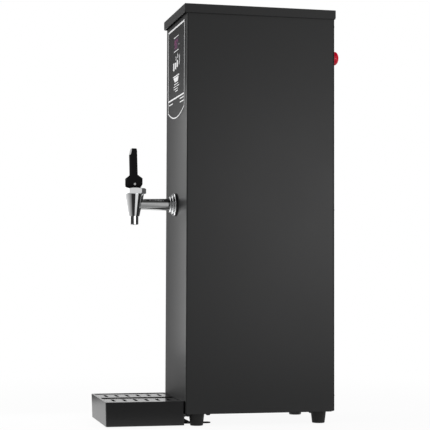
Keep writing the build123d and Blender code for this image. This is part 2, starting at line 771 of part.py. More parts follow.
with BuildPart() as switch_nut:
    with BuildSketch(front_sketch(rear_inner_y)):
        with Locations((switch_x, switch_z)):
            RegularPolygon(SWITCH_BEZEL_RADIUS - 1, 6, major_radius=False)
            Circle(SWITCH_BARREL_RADIUS + RUNNING_CLEARANCE, mode=Mode.SUBTRACT)
    extrude(amount=SWITCH_NUT_THICKNESS)
switch_nut.part.label = "switch_nut"

with BuildPart() as power_button:
    with BuildSketch(switch_at):
        with BuildLine():
            Polyline(
                (BUTTON_REACH, 0),
                (button_foot + 1.6, 0),
                (button_foot + 1.6, button_bore),
                (button_foot, button_bore),
                (button_foot, BUTTON_RADIUS),
                (BUTTON_REACH - BUTTON_DOME, BUTTON_RADIUS),
            )
            EllipticalCenterArc(
                (BUTTON_REACH - BUTTON_DOME, 0), BUTTON_DOME, BUTTON_RADIUS, 0, arc_size=QUARTER_TURN
            )
        make_face()
    revolve(axis=Axis(switch_at.origin, switch_at.x_dir))
power_button.part.label = "power_button"

button_spring_end = button_foot + 1.6 - SPRING_WIRE_RADIUS
button_spring_start = spring_floor + SPRING_WIRE_RADIUS
button_spring_height = button_spring_end - button_spring_start
with BuildPart() as button_spring:
    spring_base = (switch_x, rear_y + button_spring_start, switch_z)
    add(coil_spring(spring_base, (0, 1, 0), button_spring_height, BUTTON_SPRING_TURNS))
button_spring.part.label = "button_spring"

# ---------------------------------------------------------------- tank and its fittings
# The wrapper is folded and seam-welded, and a bottom plate is welded under it.
tank_floor = tank_z + TANK_WALL
with BuildPart() as inner_tank:
    with BuildSketch(Plane.XY.offset(tank_floor)):
        with Locations((0, tank_y)):
            RectangleRounded(tank_width, tank_depth, TANK_CORNER)
    extrude(amount=tank_top - tank_floor)
    with BuildSketch(Plane.XY.offset(tank_top - TANK_WALL)):
        with Locations((0, tank_y)):
            RectangleRounded(rim_width, rim_depth, TANK_CORNER)
    extrude(amount=TANK_WALL)
    # The welded spigot of the outlet to the tap.
    add(
        turned(
            forward(0, front_y + TANK_SETBACK, TAP_HEIGHT),
            [(-TANK_WALL, 0), (-TANK_WALL, SPIGOT_RADIUS), (SPIGOT_LENGTH, SPIGOT_RADIUS), (SPIGOT_LENGTH, 0)],
        )
    )
    with BuildSketch(Plane.XY.offset(tank_floor)):
        with Locations((0, tank_y)):
            RectangleRounded(
                tank_width - 2 * TANK_WALL, tank_depth - 2 * TANK_WALL, TANK_CORNER - TANK_WALL
            )
    extrude(amount=tank_height, mode=Mode.SUBTRACT)
    with BuildSketch(front_sketch(front_y + TANK_SETBACK + TANK_WALL * 2)):
        with Locations((0, TAP_HEIGHT)):
            Circle(SPIGOT_BORE)
    extrude(amount=SPIGOT_LENGTH + TANK_WALL * 2, mode=Mode.SUBTRACT)
    with BuildSketch(Plane.XY.offset(tank_top - TANK_WALL)):
        with Locations(lid_screw_spots):
            Circle(screw_hole)
    extrude(amount=TANK_WALL, mode=Mode.SUBTRACT)
inner_tank.part.label = "inner_tank"

with BuildPart() as tank_bottom:
    with BuildSketch(Plane.XY.offset(tank_z)):
        with Locations((0, tank_y)):
            RectangleRounded(tank_width, tank_depth, TANK_CORNER)
            Circle(HEATER_FLANGE_RADIUS - TANK_RIM, mode=Mode.SUBTRACT)
    extrude(amount=TANK_WALL)
    # The welded spigots for the fill hose and the drain pipe.
    for x, y in ((INLET_X, fill_y), (DRAIN_X, drain_y)):
        add(
            turned(
                downward(x, y, tank_z),
                [(-TANK_WALL, 0), (-TANK_WALL, HOSE_BARB), (SPIGOT_LENGTH, HOSE_BARB), (SPIGOT_LENGTH, 0)],
            )
        )
    with BuildSketch(Plane.XY.offset(tank_floor)):
        with Locations((INLET_X, fill_y), (DRAIN_X, drain_y)):
            Circle(HOSE_BARB - TANK_WALL)
    extrude(amount=-SPIGOT_LENGTH - TANK_WALL, mode=Mode.SUBTRACT)
tank_bottom.part.label = "tank_bottom"

with BuildPart() as lid_gasket:
    with BuildSketch(Plane.XY.offset(tank_top)):
        with Locations((0, tank_y)):
            RectangleRounded(rim_width, rim_depth, TANK_CORNER)
            RectangleRounded(
                tank_width - 2 * TANK_WALL,
                tank_depth - 2 * TANK_WALL,
                TANK_CORNER - TANK_WALL,
                mode=Mode.SUBTRACT,
            )
        with Locations(lid_screw_spots):
            Circle(screw_hole, mode=Mode.SUBTRACT)
    extrude(amount=GASKET_THICKNESS)
lid_gasket.part.label = "lid_gasket"

level_spot = (-tank_width / 4, tank_y)
probe_spot = (tank_width / 4, tank_y - tank_depth / 4)
thermostat_spot = (0, tank_y - tank_depth / 4)
probe_length = lid_top - tank_z - PROBE_TIP_HEIGHT
level_rod_lengths = (
    LEVEL_FULL_DEPTH,
    LEVEL_FILL_DEPTH,
    lid_top - tank_z - LEVEL_EMPTY_HEIGHT,
)
with BuildPart() as tank_lid:
    with BuildSketch(Plane.XY.offset(lid_z)):
        with Locations((0, tank_y)):
            RectangleRounded(rim_width, rim_depth, TANK_CORNER)
        with Locations(lid_screw_spots):
            Circle(screw_hole, mode=Mode.SUBTRACT)
        with Locations(level_spot):
            Circle(LEVEL_HEAD_RADIUS * 0.8 + SCREW_CLEARANCE, mode=Mode.SUBTRACT)
        with Locations(probe_spot):
            Circle(PROBE_RADIUS + SCREW_CLEARANCE, mode=Mode.SUBTRACT)
        with Locations((VENT_X, vent_start_y)):
            Circle(VENT_BORE, mode=Mode.SUBTRACT)
    extrude(amount=LID_THICKNESS)
tank_lid.part.label = "tank_lid"

with BuildPart() as lid_screws:
    for spot in lid_screw_spots:
        add(pan_screw(upright(*spot, lid_top), SCREW_LENGTH))
lid_screws.part.label = "lid_screws"

with BuildPart() as tank_insulation:
    with BuildSketch(Plane.XY.offset(tank_z)):
        with Locations((0, tank_y)):
            RectangleRounded(
                tank_width + 2 * INSULATION, tank_depth + 2 * INSULATION, TANK_CORNER + INSULATION
            )
            RectangleRounded(
                tank_width + 2 * INSULATION_GAP,
                tank_depth + 2 * INSULATION_GAP,
                TANK_CORNER,
                mode=Mode.SUBTRACT,
            )
    extrude(amount=tank_height - INSULATION_DROP)
    with BuildSketch(front_sketch(front_y + TANK_SETBACK)):
        with Locations((0, TAP_HEIGHT)):
            Circle(SPIGOT_RADIUS + INSULATION_GAP)
    extrude(amount=INSULATION * 2, mode=Mode.SUBTRACT)
tank_insulation.part.label = "tank_insulation"

shelf_width = CABINET_WIDTH - 2 * SHEET - 2 * SHELF_GAP
shelf_depth = tank_depth + 2 * INSULATION
with BuildPart() as tank_shelf:
    with BuildSketch(Plane.XY.offset(shelf_z)):
        with Locations((0, tank_y)):
            Rectangle(shelf_width, shelf_depth)
            Circle(HEATER_FLANGE_RADIUS + 2, mode=Mode.SUBTRACT)
        with Locations((INLET_X, fill_y), (DRAIN_X, drain_y)):
            Circle(DRAIN_PIPE_RADIUS + 2, mode=Mode.SUBTRACT)
    extrude(amount=SHELF_THICKNESS)
    with BuildSketch(Plane.XY.offset(shelf_z)):
        with Locations((0, tank_y)):
            with GridLocations(shelf_width - SHELF_THICKNESS, 0, 2, 1):
                Rectangle(SHELF_THICKNESS, shelf_depth)
    extrude(amount=-SHELF_FLANGE)
tank_shelf.part.label = "tank_shelf"

heater_seat = tank_z - GASKET_THICKNESS
with BuildPart() as heater_gasket:
    with BuildSketch(Plane.XY.offset(heater_seat)):
        with Locations((0, tank_y)):
            Circle(HEATER_FLANGE_RADIUS)
            Circle(HEATER_FLANGE_RADIUS - TANK_RIM, mode=Mode.SUBTRACT)
    extrude(amount=GASKET_THICKNESS)
heater_gasket.part.label = "heater_gasket"

heater_bottom = heater_seat - HEATER_FLANGE_THICKNESS
with BuildPart() as heating_element:
    with BuildSketch(Plane.XY.offset(heater_bottom)):
        with Locations((0, tank_y)):
            Circle(HEATER_FLANGE_RADIUS)
    extrude(amount=HEATER_FLANGE_THICKNESS)
    # Two hairpin tubes stand in the water; their cold ends come out below the flange.
    for side in (-1, 1):
        loop_y = tank_y + side * HEATER_LOOP_SPACING / 2
        leg = HEATER_LOOP_WIDTH / 2
        loop_top = heater_seat + HEATER_LOOP_HEIGHT
        loop_bottom = heater_bottom - HEATER_TERMINAL_LENGTH
        with BuildLine() as hairpin:
            Line((-leg, loop_y, loop_bottom), (-leg, loop_y, loop_top))
            ThreePointArc(
                (-leg, loop_y, loop_top), (0, loop_y, loop_top + leg), (leg, loop_y, loop_top)
            )
            Line((leg, loop_y, loop_top), (leg, loop_y, loop_bottom))
        with BuildSketch(Plane.XY.offset(loop_bottom)):
            with Locations((-leg, loop_y)):
                Circle(HEATER_TUBE_RADIUS)
        sweep(path=hairpin.line)
heating_element.part.label = "heating_element"

with BuildPart() as temperature_probe:
    add(
        turned(
            upright(*probe_spot, lid_top),
            [
                (-probe_length, 0),
                (-probe_length, PROBE_RADIUS * 0.7),
                (-probe_length + 1, PROBE_RADIUS),
                (0, PROBE_RADIUS),
                (0, 0),
            ],
        )
    )
    with BuildSketch(Plane.XY.offset(lid_top)):
        with Locations(probe_spot):
            RegularPolygon(PROBE_HEX / 2, 6, major_radius=False)
    extrude(amount=PROBE_HEX / 2)
    with BuildSketch(Plane.XY.offset(lid_top + PROBE_HEX / 2)):
        with Locations(probe_spot):
            Circle(PROBE_RADIUS)
    extrude(amount=PROBE_HEX)
temperature_probe.part.label = "temperature_probe"

with BuildPart() as level_probes:
    with BuildSketch(Plane.XY.offset(lid_top)):
        with Locations(level_spot):
            RegularPolygon(LEVEL_HEAD_RADIUS, 6, major_radius=False)
    extrude(amount=LEVEL_HEAD_HEIGHT)
    with BuildSketch(Plane.XY.offset(lid_top)):
        with Locations(level_spot):
            Circle(LEVEL_HEAD_RADIUS * 0.8)
    extrude(amount=-LID_THICKNESS - GASKET_THICKNESS)
    for i, length in enumerate(level_rod_lengths):
        with BuildSketch(Plane.XY.offset(lid_top + LEVEL_HEAD_HEIGHT + LEVEL_ROD_ENDS)):
            with Locations(level_spot):
                with Locations(((i - 1) * LEVEL_ROD_SPACING, 0)):
                    Circle(LEVEL_ROD_RADIUS)
        extrude(amount=-LEVEL_HEAD_HEIGHT - LEVEL_ROD_ENDS - length)
level_probes.part.label = "level_probes"

with BuildPart() as overheat_thermostat:
    add(
        turned(
            upright(*thermostat_spot, lid_top),
            [
                (0, 0),
                (0, THERMOSTAT_RADIUS + 1.5),
                (1.2, THERMOSTAT_RADIUS + 1.5),
                (1.2, THERMOSTAT_RADIUS),
                (THERMOSTAT_HEIGHT, THERMOSTAT_RADIUS),
                (THERMOSTAT_HEIGHT, 0),
            ],
        )
    )
    with BuildSketch(Plane.XY.offset(lid_top + THERMOSTAT_HEIGHT)):
        with Locations(thermostat_spot):
            with GridLocations(THERMOSTAT_RADIUS, 0, 2, 1):
                Rectangle(0.8, 6.0)
    extrude(amount=THERMOSTAT_HEIGHT)
overheat_thermostat.part.label = "overheat_thermostat"

# ---------------------------------------------------------------- water inlet, hoses, drain, vent
with BuildPart() as inlet_valve:
    with BuildSketch(Plane.XY.offset(valve_z)):
        with Locations((INLET_X, rear_inner_y - VALVE_DEPTH / 2)):
            RectangleRounded(VALVE_WIDTH, VALVE_DEPTH, 4.0)
    extrude(amount=VALVE_BODY_HEIGHT)
    with BuildSketch(front_sketch(rear_inner_y)):
        with Locations((INLET_X, INLET_HEIGHT)):
            RectangleRounded(VALVE_FLANGE, VALVE_FLANGE, 5.0)
    extrude(amount=VALVE_FLANGE_THICKNESS)
    add(
        turned(
            rearward(INLET_X, rear_y, INLET_HEIGHT),
            [
                (-SHEET - 1, 0),
                (-SHEET - 1, INLET_THREAD_RADIUS - INLET_RELIEF),
                (INLET_RELIEF, INLET_THREAD_RADIUS - INLET_RELIEF),
                (INLET_RELIEF, INLET_THREAD_RADIUS),
                (INLET_REACH - 1, INLET_THREAD_RADIUS),
                (INLET_REACH, INLET_THREAD_RADIUS - 1),
                (INLET_REACH, 0),
            ],
        )
    )
    add(
        turned(
            upright(INLET_X, valve_outlet_y, valve_z + VALVE_BODY_HEIGHT),
            [(-1, 0), (-1, HOSE_BARB), (HOSE_BARB * 3, HOSE_BARB), (HOSE_BARB * 3, 0)],
        )
    )
    with BuildSketch(front_sketch(rear_y + INLET_REACH)):
        with Locations((INLET_X, INLET_HEIGHT)):
            Circle(INLET_BORE)
    extrude(amount=INLET_REACH + VALVE_DEPTH * 0.8, mode=Mode.SUBTRACT)
    with BuildSketch(Plane.XY.offset(valve_z + VALVE_BODY_HEIGHT + HOSE_BARB * 3)):
        with Locations((INLET_X, valve_outlet_y)):
            Circle(HOSE_BARB - TANK_WALL)
    extrude(amount=-HOSE_BARB * 3 - VALVE_BODY_HEIGHT / 2, mode=Mode.SUBTRACT)
inlet_valve.part.label = "inlet_valve"

with BuildPart() as valve_coil:
    add(
        turned(
            downward(INLET_X, valve_outlet_y, valve_z),
            [
                (0, 0),
                (0, COIL_RADIUS),
                (2, COIL_RADIUS),
                (2, COIL_RADIUS - 2),
                (COIL_HEIGHT - 2, COIL_RADIUS - 2),
                (COIL_HEIGHT - 2, COIL_RADIUS),
                (COIL_HEIGHT, COIL_RADIUS),
                (COIL_HEIGHT, 0),
            ],
        )
    )
valve_coil.part.label = "valve_coil"

fill_start_z = valve_z + VALVE_BODY_HEIGHT
fill_end_z = shelf_z - SHELF_THICKNESS
fill_middle_z = (fill_start_z + fill_end_z) / 2
with BuildPart() as fill_hose:
    add(
        tube_along(
            [
                (INLET_X, valve_outlet_y, fill_start_z),
                (INLET_X, valve_outlet_y, fill_middle_z - SPIGOT_LENGTH),
                (INLET_X, fill_y, fill_middle_z + SPIGOT_LENGTH),
                (INLET_X, fill_y, fill_end_z),
            ],
            HOSE_BEND,
            HOSE_RADIUS,
            HOSE_BARB + HOSE_FIT,
        )
    )
fill_hose.part.label = "fill_hose"

drain_cap_top = FOOT_HEIGHT - 1.0
with BuildPart() as drain_pipe:
    add(
        turned(
            downward(DRAIN_X, drain_y, shelf_z),
            [
                (0, HOSE_BARB + HOSE_FIT),
                (0, DRAIN_PIPE_RADIUS),
                (shelf_z - drain_cap_top + DRAIN_CAP_HEIGHT - 2, DRAIN_PIPE_RADIUS),
                (shelf_z - drain_cap_top + DRAIN_CAP_HEIGHT - 2, HOSE_BARB + HOSE_FIT),
            ],
        )
    )
drain_pipe.part.label = "drain_pipe"

with BuildPart() as drain_cap:
    add(
        turned(
            downward(DRAIN_X, drain_y, drain_cap_top),
            [
                (0, DRAIN_PIPE_RADIUS + RUNNING_CLEARANCE),
                (0, DRAIN_CAP_RADIUS),
                (DRAIN_CAP_HEIGHT - DRAIN_CAP_EDGE, DRAIN_CAP_RADIUS),
                (DRAIN_CAP_HEIGHT, DRAIN_CAP_RADIUS - DRAIN_CAP_EDGE),
                (DRAIN_CAP_HEIGHT, 0),
                (DRAIN_CAP_HEIGHT - 1.8, 0),
                (DRAIN_CAP_HEIGHT - 1.8, DRAIN_PIPE_RADIUS + RUNNING_CLEARANCE),
            ],
        )
    )
drain_cap.part.label = "drain_cap"

with BuildPart() as vent_pipe:
    add(
        tube_along(
            [
                (VENT_X, vent_start_y, lid_top),
                (VENT_X, vent_start_y, lid_top + VENT_RISE),
                (VENT_X, vent_y, lid_top + VENT_RISE),
                (VENT_X, vent_y, FOOT_HEIGHT),
            ],
            VENT_BEND,
            VENT_RADIUS,
            VENT_BORE,
        )
    )
vent_pipe.part.label = "vent_pipe"


def hose_clip(plane, hose_radius):
    """A plain band clip round a hose end, with its two ears pinched together."""
    inner = hose_radius + RUNNING_CLEARANCE
    outer = inner + CLIP_THICKNESS
    return turned(plane, [(0, inner), (0, outer), (CLIP_WIDTH, outer), (CLIP_WIDTH, inner)])


sleeve_radius = SPIGOT_RADIUS + 2.4
sleeve_front = front_y + TAIL_THREAD_LENGTH + 4
sleeve_rear = front_y + TANK_SETBACK - INSULATION - 2
with BuildPart() as hose_clips:
    add(hose_clip(upright(INLET_X, valve_outlet_y, fill_start_z + 6), HOSE_RADIUS))
    add(hose_clip(upright(INLET_X, fill_y, fill_end_z - 6 - CLIP_WIDTH), HOSE_RADIUS))
    add(hose_clip(rearward(0, sleeve_front + 1.5, TAP_HEIGHT), sleeve_radius))
    add(hose_clip(rearward(0, sleeve_rear - 1.5 - CLIP_WIDTH, TAP_HEIGHT), sleeve_radius))
hose_clips.part.label = "hose_clips"

with BuildPart() as outlet_sleeve:
    bore = SPIGOT_RADIUS + HOSE_FIT
    add(
        turned(
            rearward(0, sleeve_front, TAP_HEIGHT),
            [
                (0, bore),
                (0, sleeve_radius),
                (sleeve_rear - sleeve_front, sleeve_radius),
                (sleeve_rear - sleeve_front, bore),
            ],
        )
    )
outlet_sleeve.part.label = "outlet_sleeve"

# ---------------------------------------------------------------- electrics
with BuildPart() as electrics_bracket:
    with BuildSketch(front_sketch(bracket_y)):
        with Locations((0, base_top + BRACKET_HEIGHT / 2)):
            Rectangle(BRACKET_WIDTH, BRACKET_HEIGHT)
    extrude(amount=BRACKET_SHEET)
    with BuildSketch(Plane.XY.offset(base_top)):
        with Locations((0, bracket_y + BRACKET_FOOT / 2 - BRACKET_SHEET)):
            Rectangle(BRACKET_WIDTH, BRACKET_FOOT)
    extrude(amount=BRACKET_SHEET)
    board_z = base_top + BRACKET_HEIGHT - POWER_BOARD_HEIGHT / 2
    with BuildSketch(front_sketch(bracket_y - BRACKET_SHEET)):
        with Locations((0, board_z)):
            with GridLocations(
                POWER_BOARD_WIDTH - 2 * STANDOFF_INSET, POWER_BOARD_HEIGHT - 2 * STANDOFF_INSET, 2, 2
            ):
                Circle(STANDOFF_RADIUS)
    extrude(amount=POWER_BOARD_STANDOFF)
electrics_bracket.part.label = "electrics_bracket"

board_back_y = bracket_y - BRACKET_SHEET - POWER_BOARD_STANDOFF
with BuildPart() as control_board:
    with BuildSketch(front_sketch(board_back_y)):
        with Locations((0, board_z)):
            Rectangle(POWER_BOARD_WIDTH, POWER_BOARD_HEIGHT)
    extrude(amount=BOARD_THICKNESS)
    # Transformer and capacitors stand on the board.
    with BuildSketch(front_sketch(board_back_y - BOARD_THICKNESS)):
        with Locations((-POWER_BOARD_WIDTH / 4, board_z + POWER_BOARD_HEIGHT / 5)):
            RectangleRounded(POWER_BOARD_WIDTH / 3, POWER_BOARD_HEIGHT / 3, 2.0)
    extrude(amount=RELAY_SIZE[1])
    with BuildSketch(front_sketch(board_back_y - BOARD_THICKNESS)):
        with Locations(
            (-POWER_BOARD_WIDTH / 4, board_z - POWER_BOARD_HEIGHT / 4),
            (-POWER_BOARD_WIDTH / 12, board_z - POWER_BOARD_HEIGHT / 4),
        ):
            Circle(RELAY_SIZE[1] / 4)
    extrude(amount=RELAY_SIZE[1] * 0.8)
control_board.part.label = "control_board"

with BuildPart() as power_relay:
    with BuildSketch(front_sketch(board_back_y - BOARD_THICKNESS)):
        with Locations((POWER_BOARD_WIDTH / 4, board_z)):
            RectangleRounded(RELAY_SIZE[0], RELAY_SIZE[2], 1.5)
    extrude(amount=RELAY_SIZE[1])
power_relay.part.label = "power_relay"

terminal_z = base_top + BRACKET_SHEET
terminal_y = bracket_y + BRACKET_FOOT / 2
with BuildPart() as terminal_block:
    with BuildSketch(Plane.XY.offset(terminal_z)):
        with Locations((0, terminal_y)):
            Rectangle(TERMINAL_SIZE[0], TERMINAL_SIZE[1])
    extrude(amount=TERMINAL_SIZE[2])
    with BuildSketch(Plane.XY.offset(terminal_z + TERMINAL_SIZE[2])):
        with Locations((0, terminal_y)):
            with GridLocations(TERMINAL_SIZE[0] / TERMINAL_WAYS, 0, TERMINAL_WAYS, 1):
                Rectangle(TERMINAL_SIZE[0] / TERMINAL_WAYS - 2, TERMINAL_SIZE[1] - 4)
    extrude(amount=-TERMINAL_SIZE[2] / 2, mode=Mode.SUBTRACT)
terminal_block.part.label = "terminal_block"

gland_at = rearward(GLAND_X, rear_y, GLAND_HEIGHT)
gland_barrel = -SHEET - GLAND_NUT_THICKNESS - 3
with BuildPart() as cable_gland:
    with BuildSketch(front_sketch(rear_y + GLAND_HEX / 4)):
        with Locations((GLAND_X, GLAND_HEIGHT)):
            RegularPolygon(GLAND_HEX / 2, 6, major_radius=False)
    extrude(amount=GLAND_HEX / 4)
    add(
        turned(
            gland_at,
            [
                (gland_barrel, GLAND_BORE),
                (gland_barrel, GLAND_BARREL_RADIUS),
                (GLAND_HEX / 4, GLAND_BARREL_RADIUS),
                (GLAND_HEX / 4, GLAND_HEX * 0.46),
                (GLAND_REACH - 4, GLAND_HEX * 0.44),
                (GLAND_REACH, GLAND_HEX * 0.32),
                (GLAND_REACH, GLAND_BORE),
            ],
        )
    )
    with BuildSketch(front_sketch(rear_y + GLAND_REACH)):
        with Locations((GLAND_X, GLAND_HEIGHT)):
            Circle(GLAND_BORE)
    extrude(amount=GLAND_REACH * 2, mode=Mode.SUBTRACT)
cable_gland.part.label = "cable_gland"

with BuildPart() as gland_nut:
    with BuildSketch(front_sketch(rear_inner_y)):
        with Locations((GLAND_X, GLAND_HEIGHT)):
            RegularPolygon(GLAND_HEX / 2, 6, major_radius=False)
            Circle(GLAND_BARREL_RADIUS + RUNNING_CLEARANCE, mode=Mode.SUBTRACT)
    extrude(amount=GLAND_NUT_THICKNESS)
gland_nut.part.label = "gland_nut"

# ---------------------------------------------------------------- tap
tap_turn = upright(0, tap_y)
tap_axis = Axis((0, tap_y, 0), (0, 0, 1))
shank_at = forward(0, front_y, TAP_HEIGHT)
cavity_low = cone_bottom + SEAT_HEIGHT
seat_radius = SPOUT_BORE + SEAT_WALL
cavity_narrow = CUP_RADIUS + 0.6

with BuildPart() as tap_body:
    # Cast cone and spout.
    add(
        turned(
            tap_turn,
            [
                (spout_bottom, 0),
                (spout_bottom, SPOUT_RADIUS - 0.5),
                (spout_bottom + 0.5, SPOUT_RADIUS),
                (cone_bottom, SPOUT_RADIUS),
                (cone_bottom, CONE_BOTTOM_RADIUS),
                (cone_top - 0.6, CONE_TOP_RADIUS),
                (cone_top, CONE_TOP_RADIUS - 0.6),
                (cone_top, 0),
            ],
        )
    )
    # Shank, flaring towards its shoulder on the rosette, and the threaded tail.
    add(
        turned(
            shank_at,
            [
                (-TAIL_LENGTH, 0),
                (-TAIL_LENGTH, SPIGOT_RADIUS),
                (-TAIL_THREAD_LENGTH, SPIGOT_RADIUS),
                (-TAIL_THREAD_LENGTH, TAIL_RADIUS),
                (rosette_face, TAIL_RADIUS),
                (rosette_face, SHANK_FLARE_RADIUS),
                (rosette_face + 2, SHANK_FLARE_RADIUS),
                (TAP_REACH - CONE_BOTTOM_RADIUS, SHANK_RADIUS),
                (TAP_REACH - SPOUT_RADIUS, 0),
            ],
        )
    )
    # Waterway: valve chamber, raised seat, spout bore and shank bore.
    add(
        turned(
            tap_turn,
            [
                (cavity_low, seat_radius),
                (cavity_low, cavity_narrow),
                (TAP_HEIGHT - SHANK_BORE, cavity_narrow),
                (cone_top - BONNET_SKIRT - 1, CAVITY_RADIUS),
                (cone_top, CAVITY_RADIUS),
                (cone_top, 0),
                (seat_z, 0),
                (seat_z, seat_radius),
            ],
        ),
        mode=Mode.SUBTRACT,
    )
    with BuildSketch(Plane.XY.offset(spout_bottom)):
        with Locations((0, tap_y)):
            Circle(SPOUT_BORE)
    extrude(amount=seat_z - spout_bottom, mode=Mode.SUBTRACT)
    with BuildSketch(front_sketch(front_y + TAIL_LENGTH)):
        with Locations((0, TAP_HEIGHT)):
            Circle(SHANK_BORE)
    extrude(amount=TAIL_LENGTH + TAP_REACH - cavity_narrow / 2, mode=Mode.SUBTRACT)
tap_body.part.label = "tap_body"

with BuildPart() as tap_gasket:
    add(
        turned(
            shank_at,
            [
                (0, TAIL_RADIUS + SCREW_CLEARANCE),
                (0, ROSETTE_RADII[0]),
                (TAP_GASKET_THICKNESS, ROSETTE_RADII[0]),
                (TAP_GASKET_THICKNESS, TAIL_RADIUS + SCREW_CLEARANCE),
            ],
        )
    )
tap_gasket.part.label = "tap_gasket"

with BuildPart() as tap_rosette:
    # Three bull-nosed rings, each smaller than the one behind it.
    with BuildSketch(shank_at):
        with BuildLine():
            inner = TAIL_RADIUS + SCREW_CLEARANCE
            neck = ROSETTE_STEP * 0.35
            Line((TAP_GASKET_THICKNESS, inner), (TAP_GASKET_THICKNESS, ROSETTE_RADII[0] - neck))
            for i, ring in enumerate(ROSETTE_RADII):
                start = TAP_GASKET_THICKNESS + i * ROSETTE_STEP
                end = start + ROSETTE_STEP
                after = (ROSETTE_RADII + (SHANK_FLARE_RADIUS + 2 * neck,))[i + 1] - neck
                ThreePointArc(
                    (start, ring - neck), ((start + end) / 2, ring), (end - neck / 2, ring - neck)
                )
                Polyline((end - neck / 2, ring - neck), (end - neck / 2, after), (end, after))
            Line((end, after), (end, inner))
            Line((end, inner), (TAP_GASKET_THICKNESS, inner))
        make_face()
    revolve(axis=Axis(shank_at.origin, shank_at.x_dir))
tap_rosette.part.label = "tap_rosette"

with BuildPart() as tap_locknut:
    with BuildSketch(front_sketch(front_inner_y + LOCKNUT_THICKNESS)):
        with Locations((0, TAP_HEIGHT)):
            RegularPolygon(LOCKNUT_HEX / 2, 6, major_radius=False)
            Circle(TAIL_RADIUS + RUNNING_CLEARANCE, mode=Mode.SUBTRACT)
    extrude(amount=LOCKNUT_THICKNESS)
tap_locknut.part.label = "tap_locknut"

bonnet_corner = BONNET_HEX / 2 / cos(pi / 6)
skirt_outer = CAVITY_RADIUS - RUNNING_CLEARANCE
stem_bore = STEM_RADIUS + RUNNING_CLEARANCE
spring_roof = bonnet_top - BONNET_ROOF
with BuildPart() as bonnet_nut:
    with BuildSketch(Plane.XY.offset(cone_top)):
        with Locations((0, tap_y)):
            RegularPolygon(BONNET_HEX / 2, 6, major_radius=False, rotation=30)
    extrude(amount=BONNET_HEIGHT)
    # The corners are turned off above and below.
    add(
        turned(
            tap_turn,
            [
                (cone_top, 0),
                (cone_top, bonnet_corner - 2 * BONNET_CHAMFER),
                (cone_top + BONNET_CHAMFER, bonnet_corner),
                (bonnet_top - BONNET_CHAMFER, bonnet_corner),
                (bonnet_top, bonnet_corner - 2 * BONNET_CHAMFER),
                (bonnet_top, 0),
            ],
        ),
        mode=Mode.INTERSECT,
    )
    add(
        turned(
            tap_turn,
            [
                (cone_top - BONNET_SKIRT, skirt_outer - BONNET_SKIRT_WALL),
                (cone_top - BONNET_SKIRT, skirt_outer),
                (cone_top, skirt_outer),
                (cone_top, skirt_outer - BONNET_SKIRT_WALL),
            ],
        )
    )
    add(
        turned(
            tap_turn,
            [
                (cone_top, 0),
                (cone_top, skirt_outer - BONNET_SKIRT_WALL),
                (spring_roof, skirt_outer - BONNET_SKIRT_WALL),
                (spring_roof, stem_bore),
                (bonnet_top, stem_bore),
                (bonnet_top, 0),
            ],
        ),
        mode=Mode.SUBTRACT,
    )
bonnet_nut.part.label = "bonnet_nut"

cup_top = cup_z + CUP_HEIGHT
button_low = cup_z + CUP_WALL
flange_top = cup_top + STEM_FLANGE_THICKNESS
with BuildPart() as tap_stem:
    add(
        turned(
            tap_turn,
            [
                (button_low, 0),
                (button_low, CUP_RADIUS - CUP_WALL),
                (button_low + 2.4, CUP_RADIUS - CUP_WALL),
                (button_low + 2.4, STEM_RADIUS),
                (cup_top, STEM_RADIUS),
                (cup_top, STEM_FLANGE_RADIUS),
                (flange_top, STEM_FLANGE_RADIUS),
                (flange_top, STEM_RADIUS),
                (pin_z - STEM_EYE_RADIUS * 0.8, STEM_RADIUS),
                (pin_z - STEM_EYE_RADIUS * 0.8, 0),
            ],
        )
    )
    with BuildSketch(Plane.YZ):
        with Locations((tap_y, pin_z)):
            Circle(STEM_EYE_RADIUS)
    extrude(amount=STEM_EYE_WIDTH / 2, both=True)
    with BuildSketch(Plane.YZ):
        with Locations((tap_y, pin_z)):
            Circle(PIN_RADIUS + PIN_CLEARANCE)
    extrude(amount=STEM_EYE_RADIUS, both=True, mode=Mode.SUBTRACT)
tap_stem.part.label = "tap_stem"

cup_fit = 0.1
with BuildPart() as seat_cup:
    add(
        turned(
            tap_turn,
            [
                (cup_z, 0),
                (cup_z, CUP_RADIUS - 1),
                (cup_z + 1, CUP_RADIUS),
                (cup_top - cup_fit, CUP_RADIUS - 0.8),
                (cup_top - cup_fit, STEM_RADIUS + cup_fit),
                (button_low + 2.4 + cup_fit, STEM_RADIUS + cup_fit),
                (button_low + 2.4 + cup_fit, CUP_RADIUS - CUP_WALL + cup_fit),
                (button_low - cup_fit, CUP_RADIUS - CUP_WALL + cup_fit),
                (button_low - cup_fit, 0),
            ],
        )
    )
seat_cup.part.label = "seat_cup"

stem_spring_start = flange_top + SPRING_WIRE_RADIUS
stem_spring_height = spring_roof - SPRING_WIRE_RADIUS - stem_spring_start
with BuildPart() as stem_spring:
    spring_base = (0, tap_y, stem_spring_start)
    add(coil_spring(spring_base, (0, 0, 1), stem_spring_height, SPRING_TURNS))
stem_spring.part.label = "stem_spring"


def cam_point(angle):
    """A point of the cam, whose reach below the pin grows evenly with the lever's tilt."""
    reach = CAM_BASE + CAM_RATE * angle
    return (
        tap_y - reach * sin(angle) - CAM_RATE * cos(angle),
        pin_z - reach * cos(angle) + CAM_RATE * sin(angle),
    )


hub_front = tap_y - LEVER_HUB_DEPTH / 2
hub_rear = tap_y + LEVER_HUB_DEPTH / 2
hub_top = pin_z + LEVER_HUB_HEIGHT - CAM_BASE
neck_z = pin_z + LEVER_NECK_RISE - CAM_BASE
lever_top = pin_z + LEVER_TOP_RISE - CAM_BASE
cam_bottom = pin_z - CAM_BASE
cam_steps = 6
cam_points = [cam_point(radians(LEVER_TRAVEL) * i / cam_steps) for i in range(cam_steps + 1)]

